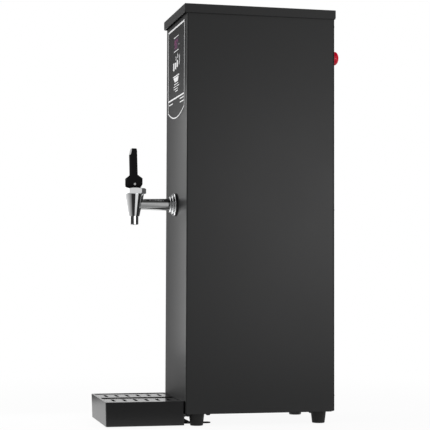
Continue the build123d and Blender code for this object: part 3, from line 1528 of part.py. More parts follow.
with BuildPart() as tap_lever:
    with BuildSketch(Plane.YZ) as lever_side:
        with BuildLine():
            Spline(*cam_points)
            Polyline(
                cam_points[-1],
                (hub_front, pin_z),
                (hub_front, hub_top),
                (tap_y - LEVER_NECK_FRONT, neck_z),
                (tap_y - LEVER_TOP_FRONT, lever_top - LEVER_THUMB_HEIGHT),
                (tap_y - LEVER_TOP_FRONT + LEVER_THUMB_DEPTH, lever_top),
                (tap_y + LEVER_TOP_REAR, lever_top),
                (tap_y + LEVER_NECK_REAR, neck_z),
                (hub_rear, hub_top),
                (hub_rear, cam_bottom + LEVER_CHEEK_CUT[1]),
                (hub_rear - LEVER_CHEEK_CUT[0], cam_bottom),
                cam_points[0],
            )
        make_face()
        fillet(lever_side.vertices().filter_by_position(Axis.Y, hub_top - 1, lever_top + 1), LEVER_EDGE)
    extrude(amount=LEVER_WIDTH / 2, both=True)
    # Seen from the front the paddle is narrower than the hub, the hub's lower corners are cut off,
    # and every corner is rounded.
    with BuildSketch(front_sketch(tap_y)) as lever_front:
        with BuildLine():
            Polyline(
                (-LEVER_WIDTH / 2 + LEVER_CHEEK_CUT[0], cam_bottom),
                (-LEVER_WIDTH / 2, cam_bottom + LEVER_CHEEK_CUT[1]),
                (-LEVER_WIDTH / 2, hub_top),
                (-LEVER_PADDLE_WIDTH / 2, neck_z),
                (-LEVER_PADDLE_WIDTH / 2, lever_top),
                (LEVER_PADDLE_WIDTH / 2, lever_top),
                (LEVER_PADDLE_WIDTH / 2, neck_z),
                (LEVER_WIDTH / 2, hub_top),
                (LEVER_WIDTH / 2, cam_bottom + LEVER_CHEEK_CUT[1]),
                (LEVER_WIDTH / 2 - LEVER_CHEEK_CUT[0], cam_bottom),
                close=True,
            )
        make_face()
        fillet(lever_front.vertices(), LEVER_CORNER)
    extrude(amount=LEVER_HUB_DEPTH, both=True, mode=Mode.INTERSECT)
    # Slot for the stem's eye, open below and in front so that the lever can tip forward.
    slot_half = STEM_RADIUS + SLOT_CLEARANCE
    with BuildSketch(Plane.YZ):
        with BuildLine():
            Polyline(
                (tap_y + STEM_EYE_RADIUS + SLOT_CLEARANCE, cam_bottom - 1),
                (tap_y + STEM_EYE_RADIUS + SLOT_CLEARANCE, pin_z),
                (tap_y + SLOT_CLEARANCE, pin_z + STEM_EYE_RADIUS + SLOT_CLEARANCE),
                (hub_front - 1, pin_z + STEM_EYE_RADIUS + SLOT_CLEARANCE),
                (hub_front - 1, cam_bottom - 1),
                close=True,
            )
        make_face()
    extrude(amount=slot_half, both=True, mode=Mode.SUBTRACT)
    with BuildSketch(Plane.YZ):
        with Locations((tap_y, pin_z)):
            Circle(STEM_EYE_RADIUS + SLOT_CLEARANCE)
    extrude(amount=slot_half, both=True, mode=Mode.SUBTRACT)
    with BuildSketch(Plane.YZ):
        with Locations((tap_y, pin_z)):
            Circle(PIN_RADIUS + PIN_SEAT)
    extrude(amount=LEVER_WIDTH, both=True, mode=Mode.SUBTRACT)
tap_lever.part.label = "tap_lever"

with BuildPart() as lever_pin:
    with BuildSketch(Plane.YZ):
        with Locations((tap_y, pin_z)):
            Circle(PIN_RADIUS)
    extrude(amount=LEVER_WIDTH / 2, both=True)
    chamfer(lever_pin.edges(), 0.3)
lever_pin.part.label = "lever_pin"

# ---------------------------------------------------------------- drip tray
tray_base_width = TRAY_WIDTH - 2 * tray_draft
tray_base_depth = TRAY_DEPTH - tray_draft
tray_base_y = tray_y + tray_draft / 2
cover_top_z = TRAY_TOP - TRAY_COVER_DROP
cover_ledge_z = cover_top_z - TRAY_COVER_THICKNESS

with BuildPart() as drip_tray:
    # The moulded tub widens upwards on three sides; its rear wall stands upright.
    with BuildSketch(Plane.XY.offset(tray_z)):
        with Locations((0, tray_base_y)):
            RectangleRounded(tray_base_width, tray_base_depth, TRAY_CORNER)
    with BuildSketch(Plane.XY.offset(TRAY_TOP)):
        with Locations((0, tray_y)):
            RectangleRounded(TRAY_WIDTH, TRAY_DEPTH, TRAY_CORNER)
    loft()
    inner_inset = TRAY_WALL + TRAY_LEDGE
    with BuildSketch(Plane.XY.offset(tray_z + TRAY_FLOOR)):
        with Locations((0, tray_base_y)):
            RectangleRounded(
                tray_base_width - 2 * inner_inset, tray_base_depth - 2 * inner_inset, TRAY_CORNER
            )
    with BuildSketch(Plane.XY.offset(TRAY_TOP)):
        with Locations((0, tray_y)):
            RectangleRounded(
                TRAY_WIDTH - 2 * inner_inset, TRAY_DEPTH - 2 * inner_inset, TRAY_CORNER
            )
    loft(mode=Mode.SUBTRACT)
    # Rebate that the slotted cover drops into.
    with BuildSketch(Plane.XY.offset(cover_ledge_z)):
        with Locations((0, tray_y)):
            RectangleRounded(TRAY_WIDTH - 2 * TRAY_WALL, TRAY_DEPTH - 2 * TRAY_WALL, TRAY_CORNER / 2)
    extrude(amount=TRAY_TOP - cover_ledge_z, mode=Mode.SUBTRACT)
drip_tray.part.label = "drip_tray"

tray_cover_width = TRAY_WIDTH - 2 * (TRAY_WALL + TRAY_COVER_GAP)
tray_cover_depth = TRAY_DEPTH - 2 * (TRAY_WALL + TRAY_COVER_GAP)
with BuildPart() as tray_cover:
    with BuildSketch(Plane.XY.offset(cover_ledge_z)):
        with Locations((0, tray_y)):
            RectangleRounded(tray_cover_width, tray_cover_depth, TRAY_CORNER / 2)
            with GridLocations(TRAY_ROW_SPACING, TRAY_SLOT_PITCH, 2, TRAY_SLOT_COUNT):
                SlotOverall(TRAY_SLOT_LENGTH, TRAY_SLOT_WIDTH, mode=Mode.SUBTRACT)
    extrude(amount=TRAY_COVER_THICKNESS)
    with BuildSketch(Plane.XY.offset(cover_top_z)):
        with Locations((0, tray_y)):
            Rectangle(TRAY_RIB_WIDTH, tray_cover_depth)
    extrude(amount=TRAY_RIB_HEIGHT)
tray_cover.part.label = "tray_cover"

fork_front_y = tray_rear_y - FORK_UNDER_TRAY
fork_bridge_y = front_y + FORK_BRIDGE
with BuildPart() as tray_fork:
    with BuildSketch(Plane.XY):
        with Locations((0, (fork_front_y + fork_bridge_y) / 2)):
            RectangleRounded(FORK_WIDTH, fork_bridge_y - fork_front_y, TRAY_CORNER)
        # A prong with a round end runs on beside the right front foot.
        with Locations(
            ((FORK_WIDTH - PRONG_WIDTH) / 2, fork_bridge_y + PRONG_LENGTH / 2 - PRONG_WIDTH / 2)
        ):
            SlotOverall(PRONG_LENGTH + PRONG_WIDTH, PRONG_WIDTH, rotation=90)
    extrude(amount=FORK_SHEET)
tray_fork.part.label = "tray_fork"

# ---------------------------------------------------------------- files
pieces = [
    casing,
    rear_panel,
    base_plate,
    top_cover,
    cover_screws,
    rear_screws,
    base_screws,
    *feet.values(),
    foot_screws,
    control_overlay,
    display_lens,
    digit_display,
    display_board,
    board_standoffs,
    switch_body,
    switch_nut,
    power_button,
    button_spring,
    inner_tank,
    tank_bottom,
    lid_gasket,
    tank_lid,
    lid_screws,
    tank_insulation,
    tank_shelf,
    heater_gasket,
    heating_element,
    temperature_probe,
    level_probes,
    overheat_thermostat,
    inlet_valve,
    valve_coil,
    fill_hose,
    drain_pipe,
    drain_cap,
    vent_pipe,
    hose_clips,
    outlet_sleeve,
    electrics_bracket,
    control_board,
    power_relay,
    terminal_block,
    cable_gland,
    gland_nut,
    tap_body,
    tap_gasket,
    tap_rosette,
    tap_locknut,
    bonnet_nut,
    tap_stem,
    seat_cup,
    stem_spring,
    tap_lever,
    lever_pin,
    drip_tray,
    tray_cover,
    tray_fork,
]

os.makedirs("parts", exist_ok=True)
for piece in pieces:
    export_step(piece.part, f"parts/{piece.part.label}.step")
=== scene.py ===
"""Looks of a tall countertop hot water urn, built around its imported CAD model.

Metres, +Z up, the front faces -Y. The sections follow the urn as it is put together.
"""

import math

import bmesh
import bpy
from mathutils import Matrix, Vector


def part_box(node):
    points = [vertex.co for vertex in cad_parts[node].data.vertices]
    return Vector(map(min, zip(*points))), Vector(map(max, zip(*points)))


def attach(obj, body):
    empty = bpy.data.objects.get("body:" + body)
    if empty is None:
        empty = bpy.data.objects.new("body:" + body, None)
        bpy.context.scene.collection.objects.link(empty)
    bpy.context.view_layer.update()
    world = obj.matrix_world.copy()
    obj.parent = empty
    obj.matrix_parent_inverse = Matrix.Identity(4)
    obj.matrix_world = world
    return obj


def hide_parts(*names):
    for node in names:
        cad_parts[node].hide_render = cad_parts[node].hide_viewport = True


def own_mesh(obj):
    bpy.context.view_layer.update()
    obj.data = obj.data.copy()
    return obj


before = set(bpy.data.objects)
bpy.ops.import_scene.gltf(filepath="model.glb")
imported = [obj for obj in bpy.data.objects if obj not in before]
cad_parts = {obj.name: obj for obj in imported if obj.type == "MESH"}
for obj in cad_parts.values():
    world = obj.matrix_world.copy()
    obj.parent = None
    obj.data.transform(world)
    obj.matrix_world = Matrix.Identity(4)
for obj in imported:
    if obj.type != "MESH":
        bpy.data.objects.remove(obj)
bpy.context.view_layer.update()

# ---------------------------------------------------------------- viewpoint
# A long lens stands low at the user's right, a little in front of the urn, and looks up by a
# couple of degrees, so the right side fills the view and the front is seen at a grazing angle.

eye = Vector((2.118495, -0.503027, 0.235095))
heading = math.radians(13.209)
rise = math.radians(2.419)
roll = math.radians(0.199)
ahead = Vector((-math.cos(heading) * math.cos(rise), math.sin(heading) * math.cos(rise), math.sin(rise)))
level_right = Vector((math.sin(heading), math.cos(heading), 0))
level_up = level_right.cross(ahead)
view_right = level_right * math.cos(roll) + level_up * math.sin(roll)
view_up = level_up * math.cos(roll) - level_right * math.sin(roll)


def put_in_scene(name, data):
    """A new object in the scene that shows the given mesh, lamp or camera."""
    made = bpy.data.objects.new(name, data)
    bpy.context.collection.objects.link(made)
    return made


lens = bpy.data.cameras.new("viewpoint")
lens.sensor_width = 36.0
lens.lens = 113.79
lens.clip_end = 50.0
camera = put_in_scene("viewpoint", lens)
view_turn = Matrix((view_right, view_up, -ahead)).transposed().to_4x4()
camera.matrix_world = Matrix.Translation(eye) @ view_turn
bpy.context.scene.camera = camera
bpy.context.scene.view_settings.view_transform = "Standard"

# ---------------------------------------------------------------- studio
# A pale counter that runs out into a white surround, a large dim softbox at the left of the lens
# and a bright low one at its right, with dark cloth between and above them, as for polished metal.


class Signal:
    """One varying value of a finish. Arithmetic on it adds Math nodes, and a comparison is 0 or 1."""

    def __init__(self, finish, socket):
        self.finish = finish
        self.socket = socket

    def math(self, operation, *values):
        return self.finish.node("Math", {"operation": operation}, dict(enumerate(values)))

    def __add__(self, other):
        return self.math("ADD", self, other)

    def __sub__(self, other):
        return self.math("SUBTRACT", self, other)

    def __rsub__(self, other):
        return self.math("SUBTRACT", other, self)

    def __mul__(self, other):
        return self.math("MULTIPLY", self, other)

    def __truediv__(self, other):
        return self.math("DIVIDE", self, other)

    def __gt__(self, other):
        return self.math("GREATER_THAN", self, other)

    def __lt__(self, other):
        return self.math("LESS_THAN", self, other)

    __radd__ = __add__
    __rmul__ = __mul__


class Finish:
    """A procedural finish, or the surround itself when it is given the world's nodes."""

    def __init__(self, name, tree=None):
        self.material = None
        if tree is None:
            self.material = bpy.data.materials.new(name)
            self.material.use_nodes = True
            tree = self.material.node_tree
        tree.nodes.clear()
        self.tree = tree

    def node(self, kind, settings=None, sockets=None, out=0):
        """Adds a node: its settings first, then a value or a link for each socket."""
        node = self.tree.nodes.new("ShaderNode" + kind)
        for key, value in (settings or {}).items():
            if key == "stops":
                ramp = node.color_ramp.elements
                ramp[0].position, ramp[1].position = value[0][0], value[-1][0]
                for place, _ in value[1:-1]:
                    ramp.new(place)
                for stop, (_, colour) in zip(ramp, value):
                    stop.color = (*colour, 1.0)
            else:
                setattr(node, key, value)
        for key, value in (sockets or {}).items():
            if isinstance(value, Signal):
                self.tree.links.new(value.socket, node.inputs[key])
            elif isinstance(value, tuple) and len(value) == 3 and node.inputs[key].type == "RGBA":
                node.inputs[key].default_value = (*value, 1.0)
            else:
                node.inputs[key].default_value = value
        return Signal(self, node.outputs[out]) if node.outputs else None

    def place(self):
        """The point on the piece itself, in metres, which moves with the piece."""
        return self.node("TexCoord", out="Object")

    def along(self, axis, vector):
        """How far a point or a direction goes along the axis X, Y or Z."""
        return self.node("SeparateXYZ", {}, {"Vector": vector}, out=axis)

    def facing(self, axis):
        """How squarely the surface faces along an axis of the piece, from -1 to 1."""
        return self.along(axis, self.node("TexCoord", out="Normal"))

    def noise(self, scale, detail, vector=None):
        """A soft mottle, finer as its scale grows."""
        where = vector or self.place()
        return self.node("TexNoise", {}, {"Vector": where, "Scale": scale, "Detail": detail})

    def blend(self, factor, first, second):
        """A colour between two. The node's colour sockets share their names, so they go by number."""
        sockets = {"Factor": factor, 6: first, 7: second}
        return self.node("Mix", {"data_type": "RGBA"}, sockets, out=2)

    def bump(self, height, distance, strength):
        """A relief for Normal, from a height between 0 and 1 and the distance that 1 stands for."""
        sockets = {"Height": height, "Distance": distance, "Strength": strength}
        return self.node("Bump", {}, sockets)

    def surface(self, sockets):
        """Ends the finish in one Principled shader."""
        shader = self.node("BsdfPrincipled", {}, sockets)
        self.node("OutputMaterial", {}, {"Surface": shader})
        return self

    def on(self, *nodes):
        """Gives this finish to carried-over CAD nodes."""
        for name in nodes:
            for material_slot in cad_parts[name].material_slots:
                material_slot.material = self.material


def seen_by(finish, *rays):
    """One where the ray that meets the surface is of any of the named kinds."""
    return sum(finish.node("LightPath", out=f"Is {ray} Ray") for ray in rays) > 0.5


def slope(finish, value, start, end):
    """A smooth step between two (value, level) pairs, and level before and after them."""
    (low, at_low), (high, at_high) = start, end
    sockets = {"Value": value, "From Min": low, "From Max": high, "To Min": at_low, "To Max": at_high}
    return finish.node("MapRange", {"interpolation_type": "SMOOTHSTEP"}, sockets)


def round_compass(finish, x, y, levels):
    """A level by the direction of (x, y), from (degrees, level) pairs: 0 is +X, and -90 is -Y."""
    turn = y.math("ARCTAN2", y, x) / (2 * math.pi) + 0.5
    stops = [((degrees + 180) / 360, (level, level, level)) for degrees, level in levels]
    return finish.node("ValToRGB", {"stops": stops}, {"Fac": turn})


# Behind the urn the surround is white. Reflections find it dark overhead and between the softboxes.
scene_world = bpy.data.worlds.new("surround")
bpy.context.scene.world = scene_world
scene_world.use_nodes = True
surround = Finish("surround", scene_world.node_tree)
surround_fill = 0.80
room_levels = (
    (-178, 1.0),
    (-173, 0.14),  # a strip of dark cloth at the left
    (-160, 0.08),
    (-148, 1.0),  # white round the left softbox
    (-98, 1.0),
    (-84, 0.08),  # dark cloth up to the lens
    (-20, 0.03),
    (-8, 0.42),
    (16, 0.46),
    (22, 0.80),  # pale round the right softbox
    (46, 0.80),
    (56, 0.50),
    (75, 0.30),
    (120, 0.90),  # white behind the urn
    (180, 1.0),
)
toward = surround.node("TexCoord", out="Generated")
toward_x, toward_y, toward_z = (surround.along(axis, toward) for axis in "XYZ")
overhead_cloth = slope(surround, toward_z, (0.35, 1.0), (0.75, 0.10))
mirrored = round_compass(surround, toward_x, toward_y, room_levels) * overhead_cloth
as_backdrop = seen_by(surround, "Camera", "Transmission")
as_mirrored = surround.node("LightPath", out="Is Glossy Ray")
surround_level = as_backdrop + (1.0 - as_backdrop) * (
    as_mirrored * mirrored + (1.0 - as_mirrored) * surround_fill
)
white = (1.0, 1.0, 1.0)
surround_light = surround.node("Background", {}, {"Color": white, "Strength": surround_level})
surround.node("OutputWorld", {}, {"Surface": surround_light})

# Looked at, the counter is as white as the surround, with a trace of the urn's shadow close by.
# Reflections find painted shade in its glow at both sides of the urn, and further off a level by
# direction, as the surround.
tap_y = sum(corner.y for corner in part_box("bonnet_nut")) / 2
counter_finish = Finish("pale_counter")
counter_spot = counter_finish.place()
counter_far = counter_finish.node("VectorMath", {"operation": "LENGTH"}, {0: counter_spot}, out="Value")
counter_x, counter_y = (counter_finish.along(axis, counter_spot) for axis in "XY")
counter_bare = seen_by(counter_finish, "Camera", "Transmission") * slope(
    counter_finish, counter_far, (0.35, 0.93), (1.1, 1.0)
)
counter_levels = (
    (-178, 1.0),
    (-173, 0.15),  # under the dark cloth at the left
    (-158, 0.15),
    (-148, 1.0),  # under the left softbox
    (-104, 1.0),
    (-94, 0.75),
    (-40, 0.22),
    (-32, 0.03),  # under the lens
    (4, 0.03),
    (16, 0.85),  # under the right softbox
    (54, 0.90),
    (70, 0.50),
    (120, 1.0),  # behind the urn
    (180, 1.0),
)
# Painted shade: beside the urn the glow that reflections see is turned down, as if the counter lay in the
# urn's shade.
right_shade = slope(counter_finish, counter_x, (0.05, 1.0), (0.20, 0.28))
left_shade = slope(counter_finish, counter_x, (-0.42, 0.12), (-0.26, 1.0))
counter_away = slope(counter_finish, counter_far, (0.55, 0.0), (0.95, 1.0))
counter_level = right_shade * left_shade * (1.0 - counter_away) + counter_away * round_compass(
    counter_finish, counter_x, counter_y - tap_y, counter_levels
)
counter_mirrored = counter_finish.node("LightPath", out="Is Glossy Ray")
counter_glow = counter_finish.node(
    "Emission", {}, {"Color": white, "Strength": 1.0 - counter_mirrored * (1.0 - counter_level)}
)
counter_lit = counter_finish.node("BsdfDiffuse", {}, {"Color": (0.86, 0.86, 0.86)})
counter_mix = counter_finish.node(
    "MixShader", {}, {0: counter_bare + counter_mirrored, 1: counter_lit, 2: counter_glow}
)
counter_finish.node("OutputMaterial", {}, {"Surface": counter_mix})


def formed(name, form, finish):
    """A piece made from a finished form, all in one finish."""
    mesh = bpy.data.meshes.new(name)
    form.to_mesh(mesh)
    form.free()
    mesh.materials.append(finish.material)
    return put_in_scene(name, mesh)


counter_reach = 6.0
counter_cells = 8
counter_gap = 0.0002
counter_form = bmesh.new()
bmesh.ops.create_grid(counter_form, x_segments=counter_cells, y_segments=counter_cells, size=counter_reach)
counter = formed("counter", counter_form, counter_finish)
counter.location.z = -counter_gap


def softbox(name, spot, aim, wide, tall, level):
    """A rectangular studio lamp at a spot, aimed at a point, whose face shines at a level."""
    lamp_data = bpy.data.lights.new(name, "AREA")
    lamp_data.shape = "RECTANGLE"
    lamp_data.size = wide
    lamp_data.size_y = tall
    lamp_data.energy = level * math.pi * wide * tall
    lamp = put_in_scene(name, lamp_data)
    lamp.location = spot
    lamp.rotation_euler = (Vector(aim) - Vector(spot)).to_track_quat("-Z", "Y").to_euler()
    lamp.visible_camera = False


# Two softboxes light the urn. One card brightens the front from its left and one the tap's nut.
urn_middle = (0.0, 0.0, 0.32)
before_tray = (0.0, -0.26, 0.325)
nut_spot = (0.0, tap_y, 0.363)
softbox("left_softbox", spot=(-0.44, -2.19, 0.5), aim=urn_middle, wide=1.7, tall=1.6, level=0.8)
softbox("right_softbox", spot=(1.9, 0.88, 0.43), aim=urn_middle, wide=0.8, tall=0.4, level=3.0)
softbox("front_card", spot=(-0.18, -0.28, 0.325), aim=before_tray, wide=0.24, tall=0.46, level=1.85)
softbox("nut_card", spot=(0.999, 0.033, 0.423), aim=nut_spot, wide=0.07, tall=0.07, level=0.36)

# ---------------------------------------------------------------- cabinet sheet metal
# Folded one-millimetre steel: wrapper, rear panel, floor plate and slip-over cover. All are sprayed
# with black epoxy powder and baked, which leaves a fine orange peel.

powder_coat = Finish("powder_coat")
powder_where = powder_coat.place()
powder_peel = powder_coat.noise(1500.0, detail=3.0, vector=powder_where)
powder_cloud = powder_coat.noise(9.0, detail=2.0, vector=powder_where)
powder_grain = powder_coat.noise(4200.0, detail=1.0, vector=powder_where)
powder_coat.surface(
    {
        "Base Color": powder_coat.blend(powder_grain, (0.0085, 0.0087, 0.0090), (0.0140, 0.0142, 0.0146)),
        "Roughness": 0.30 + powder_cloud * 0.05 + powder_peel * 0.05,
        "IOR": 1.45,
        "Normal": powder_coat.bump(powder_peel, distance=0.00004, strength=0.5),
    }
).on("casing", "rear_panel", "base_plate", "top_cover")

# ---------------------------------------------------------------- cabinet screws
# Pan-head machine screws: blackened ones hold the cover, the rear panel and the floor plate, bright
# zinc ones hold the feet and the tank's lid.

black_oxide = Finish("black_oxide")
oxide_mottle = black_oxide.noise(1800.0, detail=3.0)
black_oxide.surface(
    {
        "Base Color": black_oxide.blend(oxide_mottle, (0.012, 0.012, 0.013), (0.035, 0.035, 0.036)),
        "Metallic": 0.6,
        "Roughness": 0.35 + oxide_mottle * 0.2,
        "Normal": black_oxide.bump(oxide_mottle, distance=0.00003, strength=0.4),
    }
).on("cover_screws", "rear_screws", "base_screws")

bright_zinc = Finish("bright_zinc")
zinc_mottle = bright_zinc.noise(1200.0, detail=3.0)
bright_zinc.surface(
    {
        "Base Color": bright_zinc.blend(zinc_mottle, (0.50, 0.51, 0.53), (0.68, 0.68, 0.67)),
        "Metallic": 1.0,
        "Roughness": 0.25 + zinc_mottle * 0.2,
        "Normal": bright_zinc.bump(zinc_mottle, distance=0.00003, strength=0.4),
    }
).on("foot_screws", "lid_screws")

# ---------------------------------------------------------------- feet
# Four tapered feet, moulded in black rubber, stand under the floor plate's corners. A screw in each
# foot's recess draws it up against the plate.

foot_rubber = Finish("foot_rubber")
rubber_grain = foot_rubber.noise(2600.0, detail=3.0)
rubber_dust = foot_rubber.noise(60.0, detail=3.0)
foot_rubber.surface(
    {
        "Base Color": foot_rubber.blend(rubber_dust, (0.006, 0.006, 0.006), (0.014, 0.014, 0.0135)),
        "Roughness": 0.62 + rubber_grain * 0.2,
        "Specular IOR Level": 0.35,
        "Normal": foot_rubber.bump(rubber_grain, distance=0.00005, strength=0.5),
    }
).on("foot_front_left", "foot_front_right", "foot_rear_left", "foot_rear_right")

# ---------------------------------------------------------------- control panel
# A printed polyester film is stuck to the front: grey-white lines and signs on matte black, with a
# smoked window over the lit digits. The signs are plain: steam, level marks, a cup and fill lines.

overlay_film = Finish("overlay_film")
film_grain = overlay_film.noise(2400.0, detail=2.0)
overlay_film.surface(
    {
        "Base Color": overlay_film.blend(film_grain, (0.005, 0.005, 0.0055), (0.010, 0.010, 0.0105)),
        "Roughness": 0.52 + film_grain * 0.12,
        "Specular IOR Level": 0.3,
        "Normal": overlay_film.bump(film_grain, distance=0.00003, strength=0.4),
    }
).on("control_overlay")

smoked_window = Finish("smoked_window")
window_haze = smoked_window.noise(300.0, detail=2.0)
smoked_window.surface(
    {
        "Base Color": smoked_window.blend(window_haze, (0.018, 0.006, 0.022), (0.034, 0.010, 0.040)),
        "Roughness": 0.30 + window_haze * 0.1,
        "Specular IOR Level": 0.3,
    }
).on("display_lens")


def flat_print(name, outlines, origin, finish):
    """A layer of ink on a face at the front, from closed outlines across and up from an origin."""
    ink_thickness = 0.00006
    form = bmesh.new()
    for outline in outlines:
        front, back = (
            [form.verts.new(origin + Vector((across, depth, up))) for across, up in outline]
            for depth in (-ink_thickness, 0.0)
        )
        form.faces.new(front)
        form.faces.new(back[::-1])
        for i in range(len(outline)):
            j = (i + 1) % len(outline)
            form.faces.new((front[j], front[i], back[i], back[j]))
    bmesh.ops.recalc_face_normals(form, faces=form.faces)
    return formed(name, form, finish)


def stroke(points, width):
    """The closed outline of a line of even width through points."""
    left = []
    right = []
    for i, (x, z) in enumerate(points):
        x0, z0 = points[max(i - 1, 0)]
        x1, z1 = points[min(i + 1, len(points) - 1)]
        run = math.hypot(x1 - x0, z1 - z0)
        across = (-(z1 - z0) / run * width / 2, (x1 - x0) / run * width / 2)
        left.append((x + across[0], z + across[1]))
        right.append((x - across[0], z - across[1]))
    return left + right[::-1]


def rule(left, right, up, width):
    """The closed outline of a level line."""
    return stroke([(left, up), (right, up)], width)


def arc(centre, radius, start, end, steps):
    """Points along a circular arc, its angles in degrees from +X towards +Z."""
    angles = [math.radians(start + (end - start) * i / steps) for i in range(steps + 1)]
    return [(centre[0] + radius * math.cos(a), centre[1] + radius * math.sin(a)) for a in angles]


# The print is laid out across and up from the middle of the film's top edge, so up is negative.
film_low, film_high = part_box("control_overlay")
window_low, window_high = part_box("display_lens")
film_origin = Vector(((film_low.x + film_high.x) / 2, film_low.y, film_high.z))

# The border is two rules, two side lines a little in from the rules' ends, and a bow at the foot.
border_inset = 0.0015
border_half = film_high.x - film_origin.x - border_inset
border_left = -border_half + 0.0008
border_right = border_half - 0.0006
border_top = -0.0020
border_middle = -0.1155
border_foot = -0.1340
border_sag = 0.0134
bow_radius = (border_half**2 + border_sag**2) / (2 * border_sag)
bow_half = math.degrees(math.asin(border_half / bow_radius))
bow_centre = (0.0, border_foot - border_sag + bow_radius)
border_lines = [
    rule(-border_half, border_half, border_top, width=0.0030),
    rule(-border_half, border_half, border_middle, width=0.0024),
    stroke([(border_left, border_foot), (border_left, border_top)], width=0.0022),
    stroke([(border_right, border_foot), (border_right, border_top)], width=0.0018),
    stroke(arc(bow_centre, bow_radius, 270 - bow_half, 270 + bow_half, steps=32), width=0.0018),
]

# A rule runs over the window and one under it, and a round lamp mark stands at its right.
window_half = window_high.x - film_origin.x + 0.0015
over_window = window_high.z - film_origin.z + 0.0021
under_window = window_low.z - film_origin.z - 0.0020
lamp_dot = arc((0.0218, -0.0323), 0.0012, 0, 345, steps=15)
window_lines = [
    rule(-window_half, window_half, over_window, width=0.0013),
    rule(-window_half, window_half, under_window, width=0.0013),
    lamp_dot,
]

# Each block and each wisp of steam: across, foot, head.
steam_blocks = (
    (-0.0190, -0.0700, -0.0578),
    (-0.0050, -0.0688, -0.0584),
    (0.0085, -0.0672, -0.0560),
)
steam_wisps = (
    (-0.0030, -0.0545, -0.0495),
    (0.0095, -0.0525, -0.0465),
    (0.0230, -0.0650, -0.0490),
)
block_lean = 0.0012
wisp_bulge = 0.0030
wisp_steps = 8
steam_signs = []
for across, foot, head in steam_blocks:
    steam_signs.append(stroke([(across, foot), (across + block_lean, head)], width=0.0090))
for across, foot, head in steam_wisps:
    bend = []
    for i in range(wisp_steps + 1):
        share = i / wisp_steps
        bend.append((across + wisp_bulge * math.sin(share * math.pi), foot + (head - foot) * share))
    steam_signs.append(stroke(bend, width=0.0030))

cup_outline = [
    (-0.0205, -0.0822),
    (0.0200, -0.0822),
    (0.0140, -0.0898),
    (-0.0080, -0.0898),
    (-0.0150, -0.0870),
]
cup_signs = [rule(-0.0240, 0.0240, -0.0802, width=0.0018), cup_outline]
fill_top = -0.0930
fill_pitch = 0.0039
fill_spans = ((-0.0150, 0.0170), (-0.0190, 0.0240), (-0.0170, 0.0130), (-0.0060, 0.0150))
for i, (left, right) in enumerate(fill_spans):
    cup_signs.append(rule(left, right, fill_top - i * fill_pitch, width=0.0013))

level_signs = [
    rule(-0.0560, -0.0260, -0.1220, width=0.0016),
    rule(0.0300, 0.0600, -0.1205, width=0.0016),
    rule(0.0300, 0.0600, -0.1260, width=0.0016),
]

panel_ink = Finish("panel_ink")
ink_speckle = panel_ink.noise(3000.0, detail=2.0)
panel_ink.surface(
    {
        "Base Color": panel_ink.blend(ink_speckle, (0.78, 0.78, 0.79), (0.90, 0.90, 0.90)),
        "Roughness": 0.45 + ink_speckle * 0.1,
    }
)
panel_signs = border_lines + window_lines + steam_signs + cup_signs + level_signs
panel_print = flat_print("panel_print", panel_signs, film_origin, panel_ink)
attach(panel_print, "cabinet")

# The lit digits show the water's temperature: two seven-bar numerals and a ring for degrees. They
# are laid out across and up from the middle of the window's bottom edge.
digit_height = 0.0120
digit_width = 0.0062
digit_foot = 0.0031
digit_bar = 0.0013
digit_gap = 0.0003
digit_bars = {
    "top": ((0, 1), (1, 1)),
    "high_left": ((0, 0.5), (0, 1)),
    "high_right": ((1, 0.5), (1, 1)),
    "middle": ((0, 0.5), (1, 0.5)),
    "low_left": ((0, 0), (0, 0.5)),
    "low_right": ((1, 0), (1, 0.5)),
    "bottom": ((0, 0), (1, 0)),
}
lit_bars = {
    9: ("top", "high_left", "high_right", "middle", "low_right", "bottom"),
    5: ("top", "high_left", "middle", "low_right", "bottom"),
}
digit_starts = {9: -0.0125, 5: -0.0030}
bar_inset = digit_gap + digit_bar / 2
numerals = []
for digit, start in digit_starts.items():
    for bar in lit_bars[digit]:
        (u0, v0), (u1, v1) = digit_bars[bar]
        upright = u0 == u1
        inset_across = 0 if upright else bar_inset
        inset_up = bar_inset if upright else 0
        ends = [
            (start + u0 * digit_width + inset_across, digit_foot + v0 * digit_height + inset_up),
            (start + u1 * digit_width - inset_across, digit_foot + v1 * digit_height - inset_up),
        ]
        numerals.append(stroke(ends, digit_bar))
degree_spot = (0.0095, digit_foot + digit_height - 0.0022)
degree_ring = arc(degree_spot, 0.0016, 0, 350, steps=18)
numerals.append(stroke(degree_ring, width=0.0008))

lit_red = Finish("lit_red")
lit_flicker = lit_red.noise(900.0, detail=1.0)
lit_red.surface(
    {
        "Base Color": (0.10, 0.0, 0.01),
        "Roughness": 0.4,
        "Emission Color": lit_red.blend(lit_flicker, (0.17, 0.010, 0.11), (0.27, 0.024, 0.18)),
        "Emission Strength": 1.0,
    }
)
window_origin = Vector(((window_low.x + window_high.x) / 2, window_low.y, window_low.z))
temperature_digits = flat_print("temperature_digits", numerals, window_origin, lit_red)
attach(temperature_digits, "cabinet")

# ---------------------------------------------------------------- boards and electrics
# Glass-epoxy boards with green solder resist, moulded black component housings, natural nylon
# pillars and terminal strip, and zinc-coated sheet brackets.

solder_resist = Finish("solder_resist")
board_pads = solder_resist.node(
    "TexVoronoi", {"feature": "DISTANCE_TO_EDGE"}, {"Vector": solder_resist.place(), "Scale": 260.0}
)
track_width = 0.06
board_tracks = board_pads < track_width
solder_resist.surface(
    {
        "Base Color": solder_resist.blend(board_tracks, (0.010, 0.095, 0.030), (0.030, 0.200, 0.070)),
        "Roughness": 0.35 + board_tracks * 0.1,
        "Normal": solder_resist.bump(board_tracks, distance=0.00003, strength=0.5),
    }
).on("display_board", "control_board")

